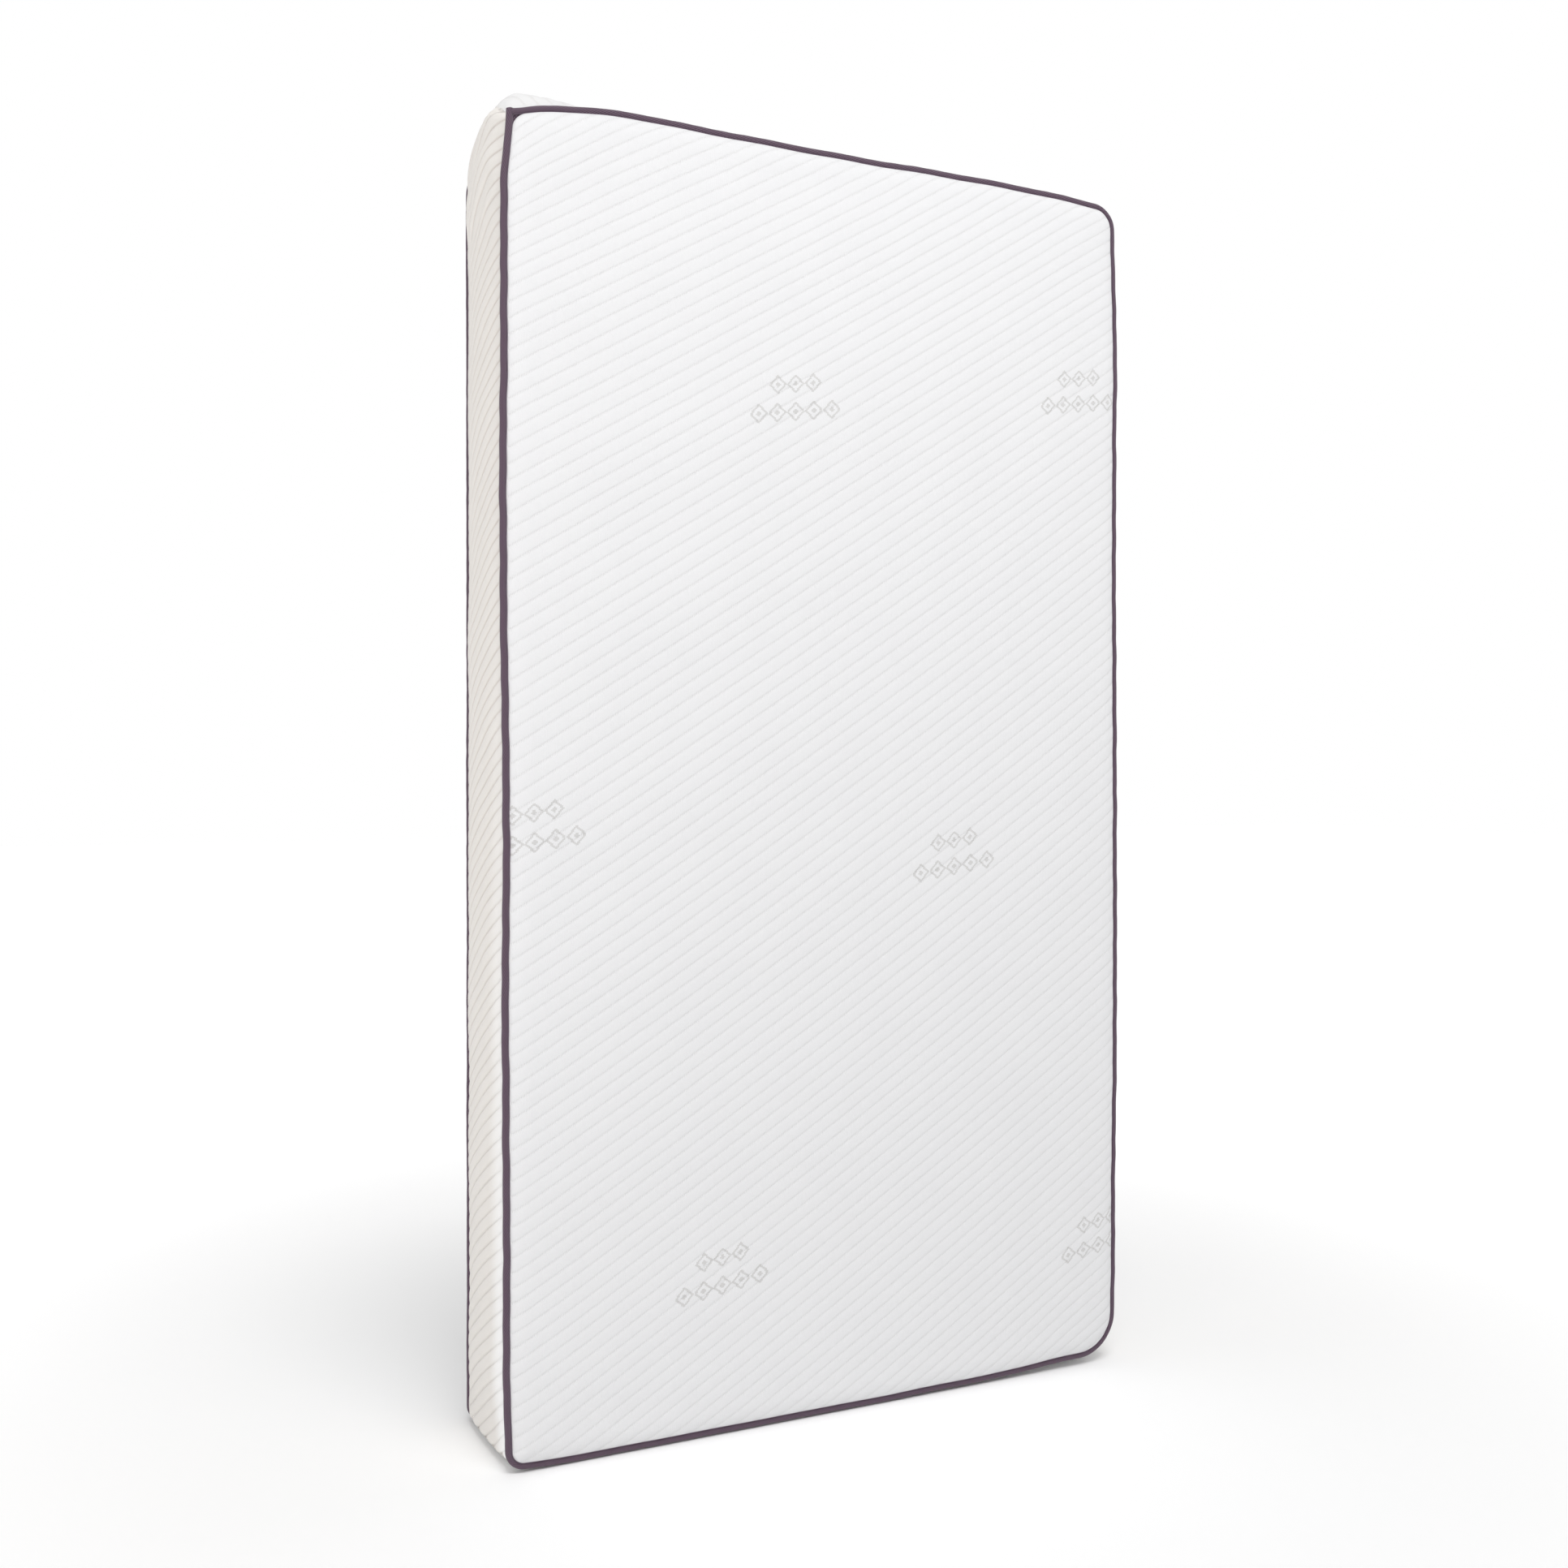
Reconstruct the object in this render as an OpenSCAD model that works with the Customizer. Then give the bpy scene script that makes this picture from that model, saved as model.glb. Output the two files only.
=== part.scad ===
// Memory foam crib mattress in a ribbed zip-off cover, standing on its foot end.
// Frame: +Z runs up the length from foot to head, X is the width and the
// sleeping face looks towards -Y. The origin is the middle of the foot end.
// Each piece is drawn lying flat, face up, and stood upright at the end.

/* [Mattress] */
// Length, foot to head
body_l = 1320; // [900:10:2000]
// Width across the long sides
body_w = 720; // [500:10:1100]
// Thickness between the two faces
body_t = 156; // [120:2:240]
// Radius of the four corners seen from the front
corner_r = 25; // [20:1:45]

/* [Cover] */
// Thickness of the ribbed border fabric
border_th = 6; // [4:0.5:8]
// Thickness of each padded face panel
panel_th = 7.6; // [6:0.2:12]
// Radius of the soft edge of a face panel
panel_edge_r = 7; // [4:0.5:7]
// Gap left where two border strips are seamed
seam_gap = 1; // [0.8:0.1:2]

/* [Piping] */
// Diameter of the twill tape wrapped on its cord
piping_d = 6.4; // [5:0.2:6.4]
// Diameter of the filler cord inside
cord_d = 4.4; // [3:0.2:4.4]
// Width of the flange sewn into the seam
flange_w = 8; // [5:1:12]
// Diameter of the sewing thread
thread_d = 0.7; // [0.4:0.1:0.8]

/* [Zip] */
// Distance from each end of the mattress to the zip tapes
zip_end_in = 65; // [55:5:200]
// Width of the slot between the two zip strips
slot_w = 14; // [13:1:18]
// Length of the slider
slider_l = 16; // [14:1:20]
// Length of the pull tab below its hinge
tab_l = 26; // [20:1:36]

/* [Foam] */
// Thickness of the memory foam layer under the sleeping face
memory_t = 30; // [15:5:60]

/* [Care label] */
// Height of the label along the border
label_h = 60; // [40:5:80]
// Width of the label across the border
label_w = 40; // [30:5:45]

/* [Hidden] */
$fn = 64;
eps = 0.01;
half_t = body_t / 2;
half_w = body_w / 2;
half_l = body_l / 2;
run_l = body_l - 2 * corner_r;     // straight part of a long side
run_w = body_w - 2 * corner_r;     // straight part of an end
clear = 0.2;                       // gap between pieces that only touch

// Seam line: the piping axis, just inside the outline and below the face.
piping_r = piping_d / 2;
piping_in = piping_r + 0.3;
piping_z = half_t - panel_th - 0.9;
flange_th = 1;
flange_z = piping_z - 0.3;
border_top = piping_z - piping_r - clear;
panel_in = piping_in + piping_r + 0.3;
panel_z = half_t - panel_th;
thread_in = panel_in - 0.4;
thread_z = panel_z + 0.9;

// Zip, by depth below the outer face of the border on the right-hand side.
zip_l = body_l - 2 * zip_end_in;
slot_half = slot_w / 2;
hem_w = 12;
hem_depth = 10;
tape_depth = hem_depth + clear;
tape_th = 0.8;
tape_w = 16;
coil_gap = 1.6;                    // room between the coils for the slider's neck
coil_w = 2.6;
coil_th = 2.2;
coil_depth = tape_depth - coil_th;
coil_l = zip_l - 40;
stop_l = 4;
stop_y = coil_l / 2 + 1 + stop_l / 2;
top_plate_depth = coil_depth - 1.6;
plate_th = 1.4;
slider_w = 12;
neck_l = 5;
bottom_plate_depth = tape_depth + tape_th + clear;
bridge_gap = 1.6;
bridge_th = 1;
bridge_w = 2.4;
bridge_l = 6;
foot_l = 1;
hinge_depth = top_plate_depth - bridge_gap / 2;
tab_th = 1.2;
tab_w = 7;
tab_eye_w = 3.6;
tab_eye_l = 5;
slider_y = -coil_l / 2 + slider_l / 2 + clear;
slot_l = zip_l + 10;
zip_pocket = bottom_plate_depth + plate_th + 0.6;

// Stitch rows on the zip strips
row_in = 2.5;
row_groove = 0.9;

// Foam and the knitted sleeve round it
sleeve_th = 0.8;
sleeve_in = border_th + 0.3;
sleeve_r = corner_r - sleeve_in;
sleeve_half_t = flange_z - flange_th / 2 - 0.4;
foam_half_t = sleeve_half_t - sleeve_th - clear;
foam_in = sleeve_in + sleeve_th + clear;
foam_zip_in = zip_pocket + sleeve_th + clear;

// Care label, let into the strip behind the zip near the foot
label_th = 0.4;
label_y = -half_l + 140;
label_z = -border_top + 2;
label_recess = 0.6;

cover_white = [0.93, 0.93, 0.94];
border_cream = [0.90, 0.89, 0.87];
tape_plum = [0.36, 0.31, 0.36];

// Stands a piece that is drawn flat on its foot end.
module upright() {
    translate([0, 0, half_l]) rotate([90, 0, 0]) children();
}

// A 2D section, x outwards from the outline and y up, run along a long side.
module along_side(length) {
    translate([half_w, length / 2, 0]) rotate([90, 0, 0]) linear_extrude(length) children();
}

// The same section run along the head end.
module along_end(length) {
    translate([-length / 2, half_l, 0]) rotate([90, 0, 90]) linear_extrude(length) children();
}

// The same section turned round the corner at head right, from the long side onwards
// or, with from_end, from the head end backwards.
module round_corner(angle = 90, from_end = false) {
    translate([half_w - corner_r, half_l - corner_r, 0])
        mirror(from_end ? [1, -1, 0] : [0, 0, 0])
            rotate_extrude(angle = angle) translate([corner_r, 0]) children();
}

// The same section run right round the outline.
module round_outline() {
    for (side = [0, 1]) mirror([side, 0, 0]) {
        along_side(run_l) children();
        for (end = [0, 1]) mirror([0, end, 0]) round_corner() children();
    }
    for (end = [0, 1]) mirror([0, end, 0]) along_end(run_w) children();
}

// A flat plate with rounded corners, from its four sides.
module plate(x0, x1, half_y, r, z0, z1) {
    translate([0, 0, z0]) linear_extrude(z1 - z0) {
        translate([x0 + r, -half_y]) square([x1 - x0 - 2 * r, 2 * half_y]);
        translate([x0, -half_y + r]) square([x1 - x0, 2 * half_y - 2 * r]);
        for (x = [x0 + r, x1 - r], y = [-half_y + r, half_y - r]) translate([x, y]) circle(r);
    }
}

// Face panels: a flat quilted sheet whose soft edge rolls down to the piping.
module face_panel() {
    edge_in = panel_in + panel_edge_r;
    plate(-half_w + edge_in, half_w - edge_in, half_l - edge_in, corner_r - edge_in, panel_z, half_t);
    round_outline() intersection() {
        translate([-edge_in, half_t - panel_edge_r]) union() {
            circle(panel_edge_r);
            translate([0, -panel_th]) square([panel_edge_r, panel_th]);
        }
        translate([-edge_in - eps, panel_z]) square([panel_edge_r + 2 * eps, panel_th + eps]);
    }
}

module front_panel() {
    color(cover_white) upright() face_panel();
}

module back_panel() {
    color(cover_white) upright() mirror([0, 0, 1]) face_panel();
}

// Border strips. The section is the full height between the two pipings.
module border_section() {
    translate([-border_th, -border_top]) square([border_th, 2 * border_top]);
}

// Half a corner, which a strip turns before it meets the next one at the seam.
module half_corner(from_end = false) {
    gap_angle = seam_gap / 2 / corner_r * 180 / PI;
    round_corner(45 - gap_angle, from_end) children();
}

module border_left() {
    color(border_cream) upright() mirror([1, 0, 0]) {
        along_side(run_l) border_section();
        for (end = [0, 1]) mirror([0, end, 0]) half_corner() border_section();
    }
}

module end_strip() {
    along_end(run_w) border_section();
    for (side = [0, 1]) mirror([side, 0, 0]) half_corner(true) border_section();
}

module border_head() {
    color(border_cream) upright() end_strip();
}

module border_foot() {
    color(border_cream) upright() mirror([0, 1, 0]) end_strip();
}

// One zip strip: hemmed along the slot, closed up to its twin beyond the slot's ends.
module zip_strip() {
    join = clear;
    stitch_z = slot_half + row_in;
    difference() {
        union() {
            along_side(slot_l) {
                translate([-border_th, slot_half]) square([border_th, border_top - slot_half]);
                translate([-hem_depth, slot_half]) square([hem_depth - border_th + eps, hem_w]);
            }
            for (end = [0, 1]) mirror([0, end, 0]) {
                translate([half_w - border_th, slot_l / 2 - eps, join])
                    cube([border_th, run_l / 2 - slot_l / 2 + 2 * eps, border_top - join]);
                half_corner()
                    translate([-border_th, join]) square([border_th, border_top - join]);
            }
        }
        along_side(slot_l - 2 * row_in)
            translate([-row_groove, stitch_z - row_groove / 2]) square([row_groove + eps, row_groove]);
    }
}

module border_zip_front() {
    color(border_cream) upright() zip_strip();
}

module border_zip_back() {
    color(border_cream) upright() difference() {
        mirror([0, 0, 1]) zip_strip();
        translate([half_w - label_recess, label_y - clear, label_z - clear])
            cube([label_recess + eps, label_h + 2 * clear, label_w + 2 * clear]);
    }
}

// Piping: a bias tape folded round a cord, its two edges making the flange.
module piping_tape() {
    round_outline() difference() {
        translate([-piping_in, piping_z]) union() {
            circle(piping_r);
            translate([-flange_w, flange_z - piping_z - flange_th / 2]) square([flange_w, flange_th]);
        }
        translate([-piping_in, piping_z]) circle(cord_d / 2 + 0.1);
    }
}

module piping_cord() {
    round_outline() translate([-piping_in, piping_z]) circle(cord_d / 2);
}

module front_piping_tape() {
    color(tape_plum) upright() piping_tape();
}

module front_piping_cord() {
    color("ivory") upright() piping_cord();
}

module rear_piping_tape() {
    color(tape_plum) upright() mirror([0, 0, 1]) piping_tape();
}

module rear_piping_cord() {
    color("ivory") upright() mirror([0, 0, 1]) piping_cord();
}

// Sewing thread in the ditch between each panel and its piping.
module seam_thread() {
    round_outline() translate([-thread_in, thread_z]) circle(d = thread_d, $fn = 16);
}

module front_seam_thread() {
    color("lavender") upright() seam_thread();
}

module rear_seam_thread() {
    color("lavender") upright() mirror([0, 0, 1]) seam_thread();
}

// The seams across the border at the four corners.
module corner_seam_threads() {
    seam_l = 2 * border_top - 4;
    out = corner_r - 1.5;
    color("white") upright()
        for (x = [-1, 1], y = [-1, 1])
            translate([
                x * (half_w - corner_r + out * cos(45)),
                y * (half_l - corner_r + out * sin(45)),
                -seam_l / 2
            ])
                cylinder(h = seam_l, d = thread_d, $fn = 16);
}

// A bar along the zip: its depth below the border, its distance from the zip's middle line.
module zip_bar(depth, thick, z_from, z_to, length, y = 0) {
    translate([half_w - depth - thick, y - length / 2, z_from]) cube([thick, length, z_to - z_from]);
}

module zip_tape() {
    zip_bar(tape_depth, tape_th, coil_gap / 2, coil_gap / 2 + tape_w, zip_l);
}

module zip_coil() {
    zip_bar(coil_depth, coil_th, coil_gap / 2, coil_gap / 2 + coil_w, coil_l);
}

module zip_tape_front() {
    color("white") upright() zip_tape();
}

module zip_tape_back() {
    color("white") upright() mirror([0, 0, 1]) zip_tape();
}

module zip_coil_front() {
    color("whitesmoke") upright() zip_coil();
}

module zip_coil_back() {
    color("whitesmoke") upright() mirror([0, 0, 1]) zip_coil();
}

// The two small stops at the foot, one on each tape, that the closed slider rests near.
module zip_closed_stops() {
    color("gainsboro") upright() for (side = [0, 1]) mirror([0, 0, side])
        zip_bar(coil_depth, coil_th, coil_gap / 2, coil_gap / 2 + coil_w, stop_l, -stop_y);
}

// The single stop at the head end, across both tapes.
module zip_open_stop() {
    color("gainsboro") upright()
        zip_bar(coil_depth, coil_th, -coil_gap / 2 - coil_w, coil_gap / 2 + coil_w, stop_l, stop_y);
}

// Slider: two plates joined by a neck between the coils, with a bridge for the tab.
module zip_slider() {
    lip_w = slider_w / 2 - coil_gap / 2 - coil_w - 0.5;
    lip_l = slider_l - 4;
    color("silver") upright() {
        zip_bar(top_plate_depth, plate_th, -slider_w / 2, slider_w / 2, slider_l, slider_y);
        zip_bar(bottom_plate_depth, plate_th, -slider_w / 2, slider_w / 2, slider_l, slider_y);
        zip_bar(top_plate_depth, bottom_plate_depth - top_plate_depth + eps, -0.5, 0.5, neck_l, slider_y);
        for (side = [0, 1]) mirror([0, 0, side])
            zip_bar(top_plate_depth, tape_depth - top_plate_depth - 0.5,
                slider_w / 2 - lip_w, slider_w / 2, lip_l, slider_y);
        zip_bar(hinge_depth - bridge_gap / 2 - bridge_th, bridge_th,
            -bridge_w / 2, bridge_w / 2, bridge_l, slider_y);
        for (end = [-1, 1])
            zip_bar(hinge_depth - bridge_gap / 2 - bridge_th, bridge_gap + bridge_th + eps,
                -bridge_w / 2, bridge_w / 2, foot_l, slider_y + end * (bridge_l - foot_l) / 2);
    }
}

// Pull tab: an eye whose crossbar turns under the bridge, then a flat plate hanging down.
module zip_pull_tab() {
    color("silver") upright() translate([half_w - hinge_depth, slider_y, 0]) {
        translate([0, 0, -tab_w / 2]) cylinder(h = tab_w, d = tab_th, $fn = 32);
        difference() {
            translate([-tab_th / 2, -tab_l, -tab_w / 2]) cube([tab_th, tab_l, tab_w]);
            translate([-tab_th, -tab_eye_l, -tab_eye_w / 2]) cube([2 * tab_th, tab_eye_l + 1, tab_eye_w]);
            translate([-tab_th, -tab_l + 4.5, 0]) rotate([0, 90, 0]) cylinder(h = 2 * tab_th, d = 3);
        }
    }
}

// Stitch rows that hold the tapes, lying in a shallow channel of each strip.
module zip_stitching() {
    zip_bar(clear, thread_d, slot_half + row_in - thread_d / 2,
        slot_half + row_in + thread_d / 2, slot_l - 4 * row_in);
}

module zip_stitching_front() {
    color("white") upright() zip_stitching();
}

module zip_stitching_back() {
    color("white") upright() mirror([0, 0, 1]) zip_stitching();
}

// Knitted sleeve, closed round both foam layers.
module inner_sleeve() {
    inner = sleeve_in + sleeve_th;
    color("aliceblue") upright() difference() {
        plate(-half_w + sleeve_in, half_w - zip_pocket, half_l - sleeve_in, sleeve_r,
            -sleeve_half_t, sleeve_half_t);
        plate(-half_w + inner, half_w - zip_pocket - sleeve_th, half_l - inner, sleeve_r - sleeve_th,
            -sleeve_half_t + sleeve_th, sleeve_half_t - sleeve_th);
    }
}

// One layer of foam between two heights.
module foam_layer(z0, z1) {
    plate(-half_w + foam_in, half_w - foam_zip_in, half_l - foam_in, corner_r - foam_in, z0, z1);
}

module memory_foam_layer() {
    color("lightyellow") upright() foam_layer(foam_half_t - memory_t, foam_half_t);
}

module support_foam_core() {
    color("lemonchiffon") upright() foam_layer(-foam_half_t, foam_half_t - memory_t - clear);
}

// Blank care label, caught in the rear seam.
module care_label() {
    color("white") upright()
        translate([half_w - label_recess + 0.1, label_y, label_z]) cube([label_th, label_h, label_w]);
}

front_panel();
back_panel();
border_left();
border_head();
border_foot();
border_zip_front();
border_zip_back();
front_piping_tape();
front_piping_cord();
rear_piping_tape();
rear_piping_cord();
front_seam_thread();
rear_seam_thread();
corner_seam_threads();
zip_tape_front();
zip_tape_back();
zip_coil_front();
zip_coil_back();
zip_closed_stops();
zip_open_stop();
zip_slider();
zip_pull_tab();
zip_stitching_front();
zip_stitching_back();
inner_sleeve();
memory_foam_layer();
support_foam_core();
care_label();
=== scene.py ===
"""Looks of the memory foam crib mattress: ribbed knit cover, twill piping, hidden zip and foam.

The mattress stands on its foot end. X is the width, Z the length, and the sleeping face looks
towards -Y. Cover pieces are drawn on a flat pattern whose mesh follows the ribs of the knit, and
are then laid on a soft form, whose swell comes from one cloth simulation of the whole cover.
"""
import math

import bmesh
import bpy
import numpy as np
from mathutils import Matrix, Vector
from mathutils.geometry import delaunay_2d_cdt


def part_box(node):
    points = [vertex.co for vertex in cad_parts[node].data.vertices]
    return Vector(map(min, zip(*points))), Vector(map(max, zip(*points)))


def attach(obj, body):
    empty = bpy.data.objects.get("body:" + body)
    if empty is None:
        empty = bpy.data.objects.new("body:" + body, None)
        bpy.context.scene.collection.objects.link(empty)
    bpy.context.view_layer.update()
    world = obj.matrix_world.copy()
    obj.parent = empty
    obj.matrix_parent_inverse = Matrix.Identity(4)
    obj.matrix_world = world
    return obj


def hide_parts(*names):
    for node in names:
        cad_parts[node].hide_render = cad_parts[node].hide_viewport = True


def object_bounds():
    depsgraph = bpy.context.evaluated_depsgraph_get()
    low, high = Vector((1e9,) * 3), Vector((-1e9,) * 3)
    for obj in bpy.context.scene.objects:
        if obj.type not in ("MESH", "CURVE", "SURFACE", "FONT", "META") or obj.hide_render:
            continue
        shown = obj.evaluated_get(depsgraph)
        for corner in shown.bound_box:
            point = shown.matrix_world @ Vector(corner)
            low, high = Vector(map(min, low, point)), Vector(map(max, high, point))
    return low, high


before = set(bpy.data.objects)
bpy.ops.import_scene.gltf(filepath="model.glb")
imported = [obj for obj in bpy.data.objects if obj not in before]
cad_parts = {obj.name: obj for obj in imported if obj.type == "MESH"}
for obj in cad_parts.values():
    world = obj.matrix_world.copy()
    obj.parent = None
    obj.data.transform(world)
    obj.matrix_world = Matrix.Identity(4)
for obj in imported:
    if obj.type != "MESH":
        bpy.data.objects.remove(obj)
CAD_LOW, CAD_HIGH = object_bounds()
MM = 0.001

# ---------------------------------------------------------------- sizes from the frame
HALF_W = CAD_HIGH.x
LENGTH = CAD_HIGH.z
MIDDLE = LENGTH / 2
PANEL_LOW, PANEL_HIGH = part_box("front_panel")
PANEL_IN = HALF_W - PANEL_HIGH.x
PANEL_BASE = -PANEL_HIGH.y
PANEL_RISE = PANEL_HIGH.y - PANEL_LOW.y
BORDER_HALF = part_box("border_left")[1].y
PIPING_LOW, PIPING_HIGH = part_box("front_piping_tape")
PIPING_R = (PIPING_HIGH.y - PIPING_LOW.y) / 2
PIPING_Y = -(PIPING_HIGH.y + PIPING_LOW.y) / 2
PIPING_IN = HALF_W - PIPING_HIGH.x + PIPING_R
CORD_LOW, CORD_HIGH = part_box("front_piping_cord")
CORD_R = (CORD_HIGH.y - CORD_LOW.y) / 2
THREAD_LOW, THREAD_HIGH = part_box("front_seam_thread")
THREAD_R = (THREAD_HIGH.y - THREAD_LOW.y) / 2
THREAD_Y = -(THREAD_HIGH.y + THREAD_LOW.y) / 2
THREAD_IN = HALF_W - THREAD_HIGH.x + THREAD_R
STITCH_LOW, STITCH_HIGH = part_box("zip_stitching_back")
TAPE_LOW, TAPE_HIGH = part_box("zip_tape_back")
COIL_LOW, COIL_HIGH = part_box("zip_coil_back")
SLEEVE_LOW, SLEEVE_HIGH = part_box("inner_sleeve")
MEMORY_LOW, MEMORY_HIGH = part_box("memory_foam_layer")
SUPPORT_LOW, SUPPORT_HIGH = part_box("support_foam_core")
LABEL_LOW, LABEL_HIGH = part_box("care_label")

# ---------------------------------------------------------------- the soft form
# Radius of the outline at each corner, by the signs of x and of z from the middle.
FRONT_R = {(-1, -1): 18 * MM, (1, -1): 50 * MM, (1, 1): 27 * MM, (-1, 1): 9 * MM}
REAR_R = {(-1, -1): 17 * MM, (1, -1): 34 * MM, (1, 1): 30 * MM, (-1, 1): 58 * MM}
PANEL_R = dict(FRONT_R)          # the front panel is cut rounder than its piping there
PANEL_R[-1, 1] = 19 * MM
LEAST_R = 2 * MM
ROLL_W = 22 * MM                 # width of a face's soft edge
ROLL_POWER = 2.05
RIM_H = 0.5 * MM                 # thickness of a panel where it is sewn
FACE_SWELL = 2.5 * MM            # how far the middle of a face stands proud
BORDER_SWELL = 6.5 * MM
SEAM_DIP = 4.2 * MM              # how far the border is drawn in at its two seams
CORNER_DIP = 3.5 * MM            # and to the seams across it at the corners
CORNER_SWELL = 3 * MM            # fuller border at the head-left corner
CORNER_REACH = 90 * MM
CORNER_BUMP = 4 * MM             # and fullest right at that corner
SEAM_ROLL = 2 * MM               # the border turns in to its front seam over a few millimetres
LOBE = 10 * MM                   # the fold of cover that stands up beside that corner
# How the front seam wanders from the straight, in mm: (z, inwards) and (x, upwards).
LEFT_EDGE = ((0, 4), (0.03, 3.2), (0.08, 1.2), (0.25, 1.3), (0.36, 0.7), (0.43, -0.2), (0.5, 0.6),
             (0.6, 1.3), (0.71, 0.5), (0.83, -1.5), (0.94, -2), (1.06, -1.2), (1.175, -0.9),
             (1.25, -0.9), (1.27, 0.5), (1.29, 3.2), (1.32, 5))
RIGHT_EDGE = ((0, 2), (0.05, 1), (0.1, 0), (0.2, 0), (0.38, -2), (0.66, -0.8), (0.76, 0.2),
              (0.94, 1.6), (1.03, 1.4), (1.13, 0.5), (1.2, 2.3), (1.26, 4.4), (1.32, 6))
HEAD_EDGE = ((-0.36, -19), (-0.346, -16), (-0.336, -11.8), (-0.323, -8.6), (-0.31, -6.5),
             (-0.284, -3.7), (-0.257, -0.8), (-0.23, 0.2), (-0.19, -0.3), (-0.15, -1.2),
             (-0.07, -1.6), (0.03, -1.6), (0.08, -0.8), (0.13, 0), (0.24, 0), (0.29, -1.5),
             (0.33, -3.5), (0.36, -5))
FOOT_EDGE = ((-0.36, 3), (-0.33, 1), (-0.3, 0), (0.06, 0.3), (0.18, 1.8), (0.24, 3.4), (0.28, 6),
             (0.31, 7), (0.36, 5))
REAR_TUCK = 2.2 * MM             # the rear seam on the left is drawn in behind the border
FLUTTER = 0.35 * MM              # fine unevenness of the front seam
REAR_WAVE = 0.3 * MM             # and of the rear one
FOLD = 1.6 * MM                  # small folds of the left border below the head-left corner
COVER_TH = 6 * MM                # knit and its wadding together
SEAM_GAP = 0.05 * MM             # between two border strips at a corner join
HEM_TH = 10 * MM                 # the folded edge of a zip strip
HEM_W = 12 * MM
HEM_ROLL_W, HEM_ROLL = 3.2 * MM, 2.6 * MM   # how its edge turns in
SLOT_FOOT, SLOT_HEAD = TAPE_LOW.z - 5 * MM, TAPE_HIGH.z + 5 * MM
SLOT_HALF_W = 7 * MM             # half the width of the opening over the zip
SLOT_SHUT = 0.25 * MM            # and of the gap where the two hems meet
STITCH_ROW = (STITCH_LOW.y + STITCH_HIGH.y) / 2
COIL_PITCH = 1.5 * MM
COIL_WIRE = 0.34 * MM
FLANGE_W = 8 * MM                # how far the piping's tape runs into its seam
HOLLOW_SIDES = 10                # of the tape's inside, round the cord
SEAM_STITCHES = 1130             # in one seam round a face
CORD_OF = {"front_piping_tape": "front_piping_cord", "rear_piping_tape": "rear_piping_cord"}

# ---------------------------------------------------------------- the knit
RIB_PITCH = 15.2 * MM            # spacing of the ribs along the length
RIB_SLOPE = 0.625                # rise of the ribs across the width
RIB_BEND = 0.052                 # they steepen a little towards the right
RIB_STRETCH = 9 * MM             # and sit closer at the foot than at mid length
STRETCH_FROM, STRETCH_SPAN = 0.76, 1.3
FACE_RIB = 0.45 * MM
BORDER_RIB = 1.7 * MM
END_RIB = 0.8 * MM               # the ribs of the head and foot borders are flatter
WALE = 1.5 * MM                  # one column of the knit
# Guide lines across one rib, as shares of the pitch from its groove.
RIB_LINES = (0, 0.04, 0.1, 0.21, 0.4, 0.6, 0.79, 0.9, 0.96)

# Where the woven-in motif sits on the sleeping face: x and z of each middle, in mm.
MOTIFS = ((-54, 1056), (300, 1099), (-331, 619), (137, 585), (-135, 169), (330, 150))
MOTIF_SKEW = 0.15                # its rows climb a little to the right
MOTIF_REACH = (75 * MM, 52 * MM)
# Middle, half length and half height of each of its two rows of lozenges.
MOTIF_ROWS = ((14 * MM, 30 * MM, 10 * MM), (-14.5 * MM, 52 * MM, 10.4 * MM))


def smooth(t):
    t = np.clip(t, 0, 1)
    return t * t * (3 - 2 * t)


def bell(t):
    return np.exp(-t * t)


def spatial(p, y=0.0):
    """Points in space from their (x, z) and heights y between the faces."""
    return np.stack([p[..., 0], np.broadcast_to(y, p.shape[:-1]), p[..., 1]], -1)


def weave_of(along, across):
    """Cloth coordinates of a swept piece, from distances along it and across its section."""
    return np.stack(np.broadcast_arrays(along[:, None], across[None, :], 0.0), -1).reshape(-1, 3)


def with_settings(thing, **settings):
    """Gives several properties of a Blender item their values."""
    for key, value in settings.items():
        setattr(thing, key, value)
    return thing


def added(name, data):
    """A new object in the scene."""
    piece = bpy.data.objects.new(name, data)
    bpy.context.scene.collection.objects.link(piece)
    return piece


def ripple(a, b, seed, size):
    """Gentle unevenness between about -1 and 1, with waves of the given size."""
    rng = np.random.default_rng(seed)
    total = np.zeros(np.broadcast(a, b).shape)
    for _ in range(6):
        turn, start, scale = rng.uniform(0, math.tau), rng.uniform(0, math.tau), rng.uniform(0.7, 1.5)
        across = (a * math.cos(turn) + b * math.sin(turn)) / (size * scale)
        total += np.sin(math.tau * across + start)
    return total / 3.2


# ---------------------------------------------------------------- outline
def inside_by(x, z, radii, inset):
    """How far points lie inside the outline drawn in by inset."""
    radius = np.empty_like(x)
    for (sx, sz), r in radii.items():
        radius[((x >= 0) == (sx > 0)) & ((z >= MIDDLE) == (sz > 0))] = max(r - inset, LEAST_R)
    qx = np.abs(x) - (HALF_W - inset - radius)
    qz = np.abs(z - MIDDLE) - (MIDDLE - inset - radius)
    outside = np.hypot(np.maximum(qx, 0), np.maximum(qz, 0))
    return radius - outside - np.minimum(np.maximum(qx, qz), 0)


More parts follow.
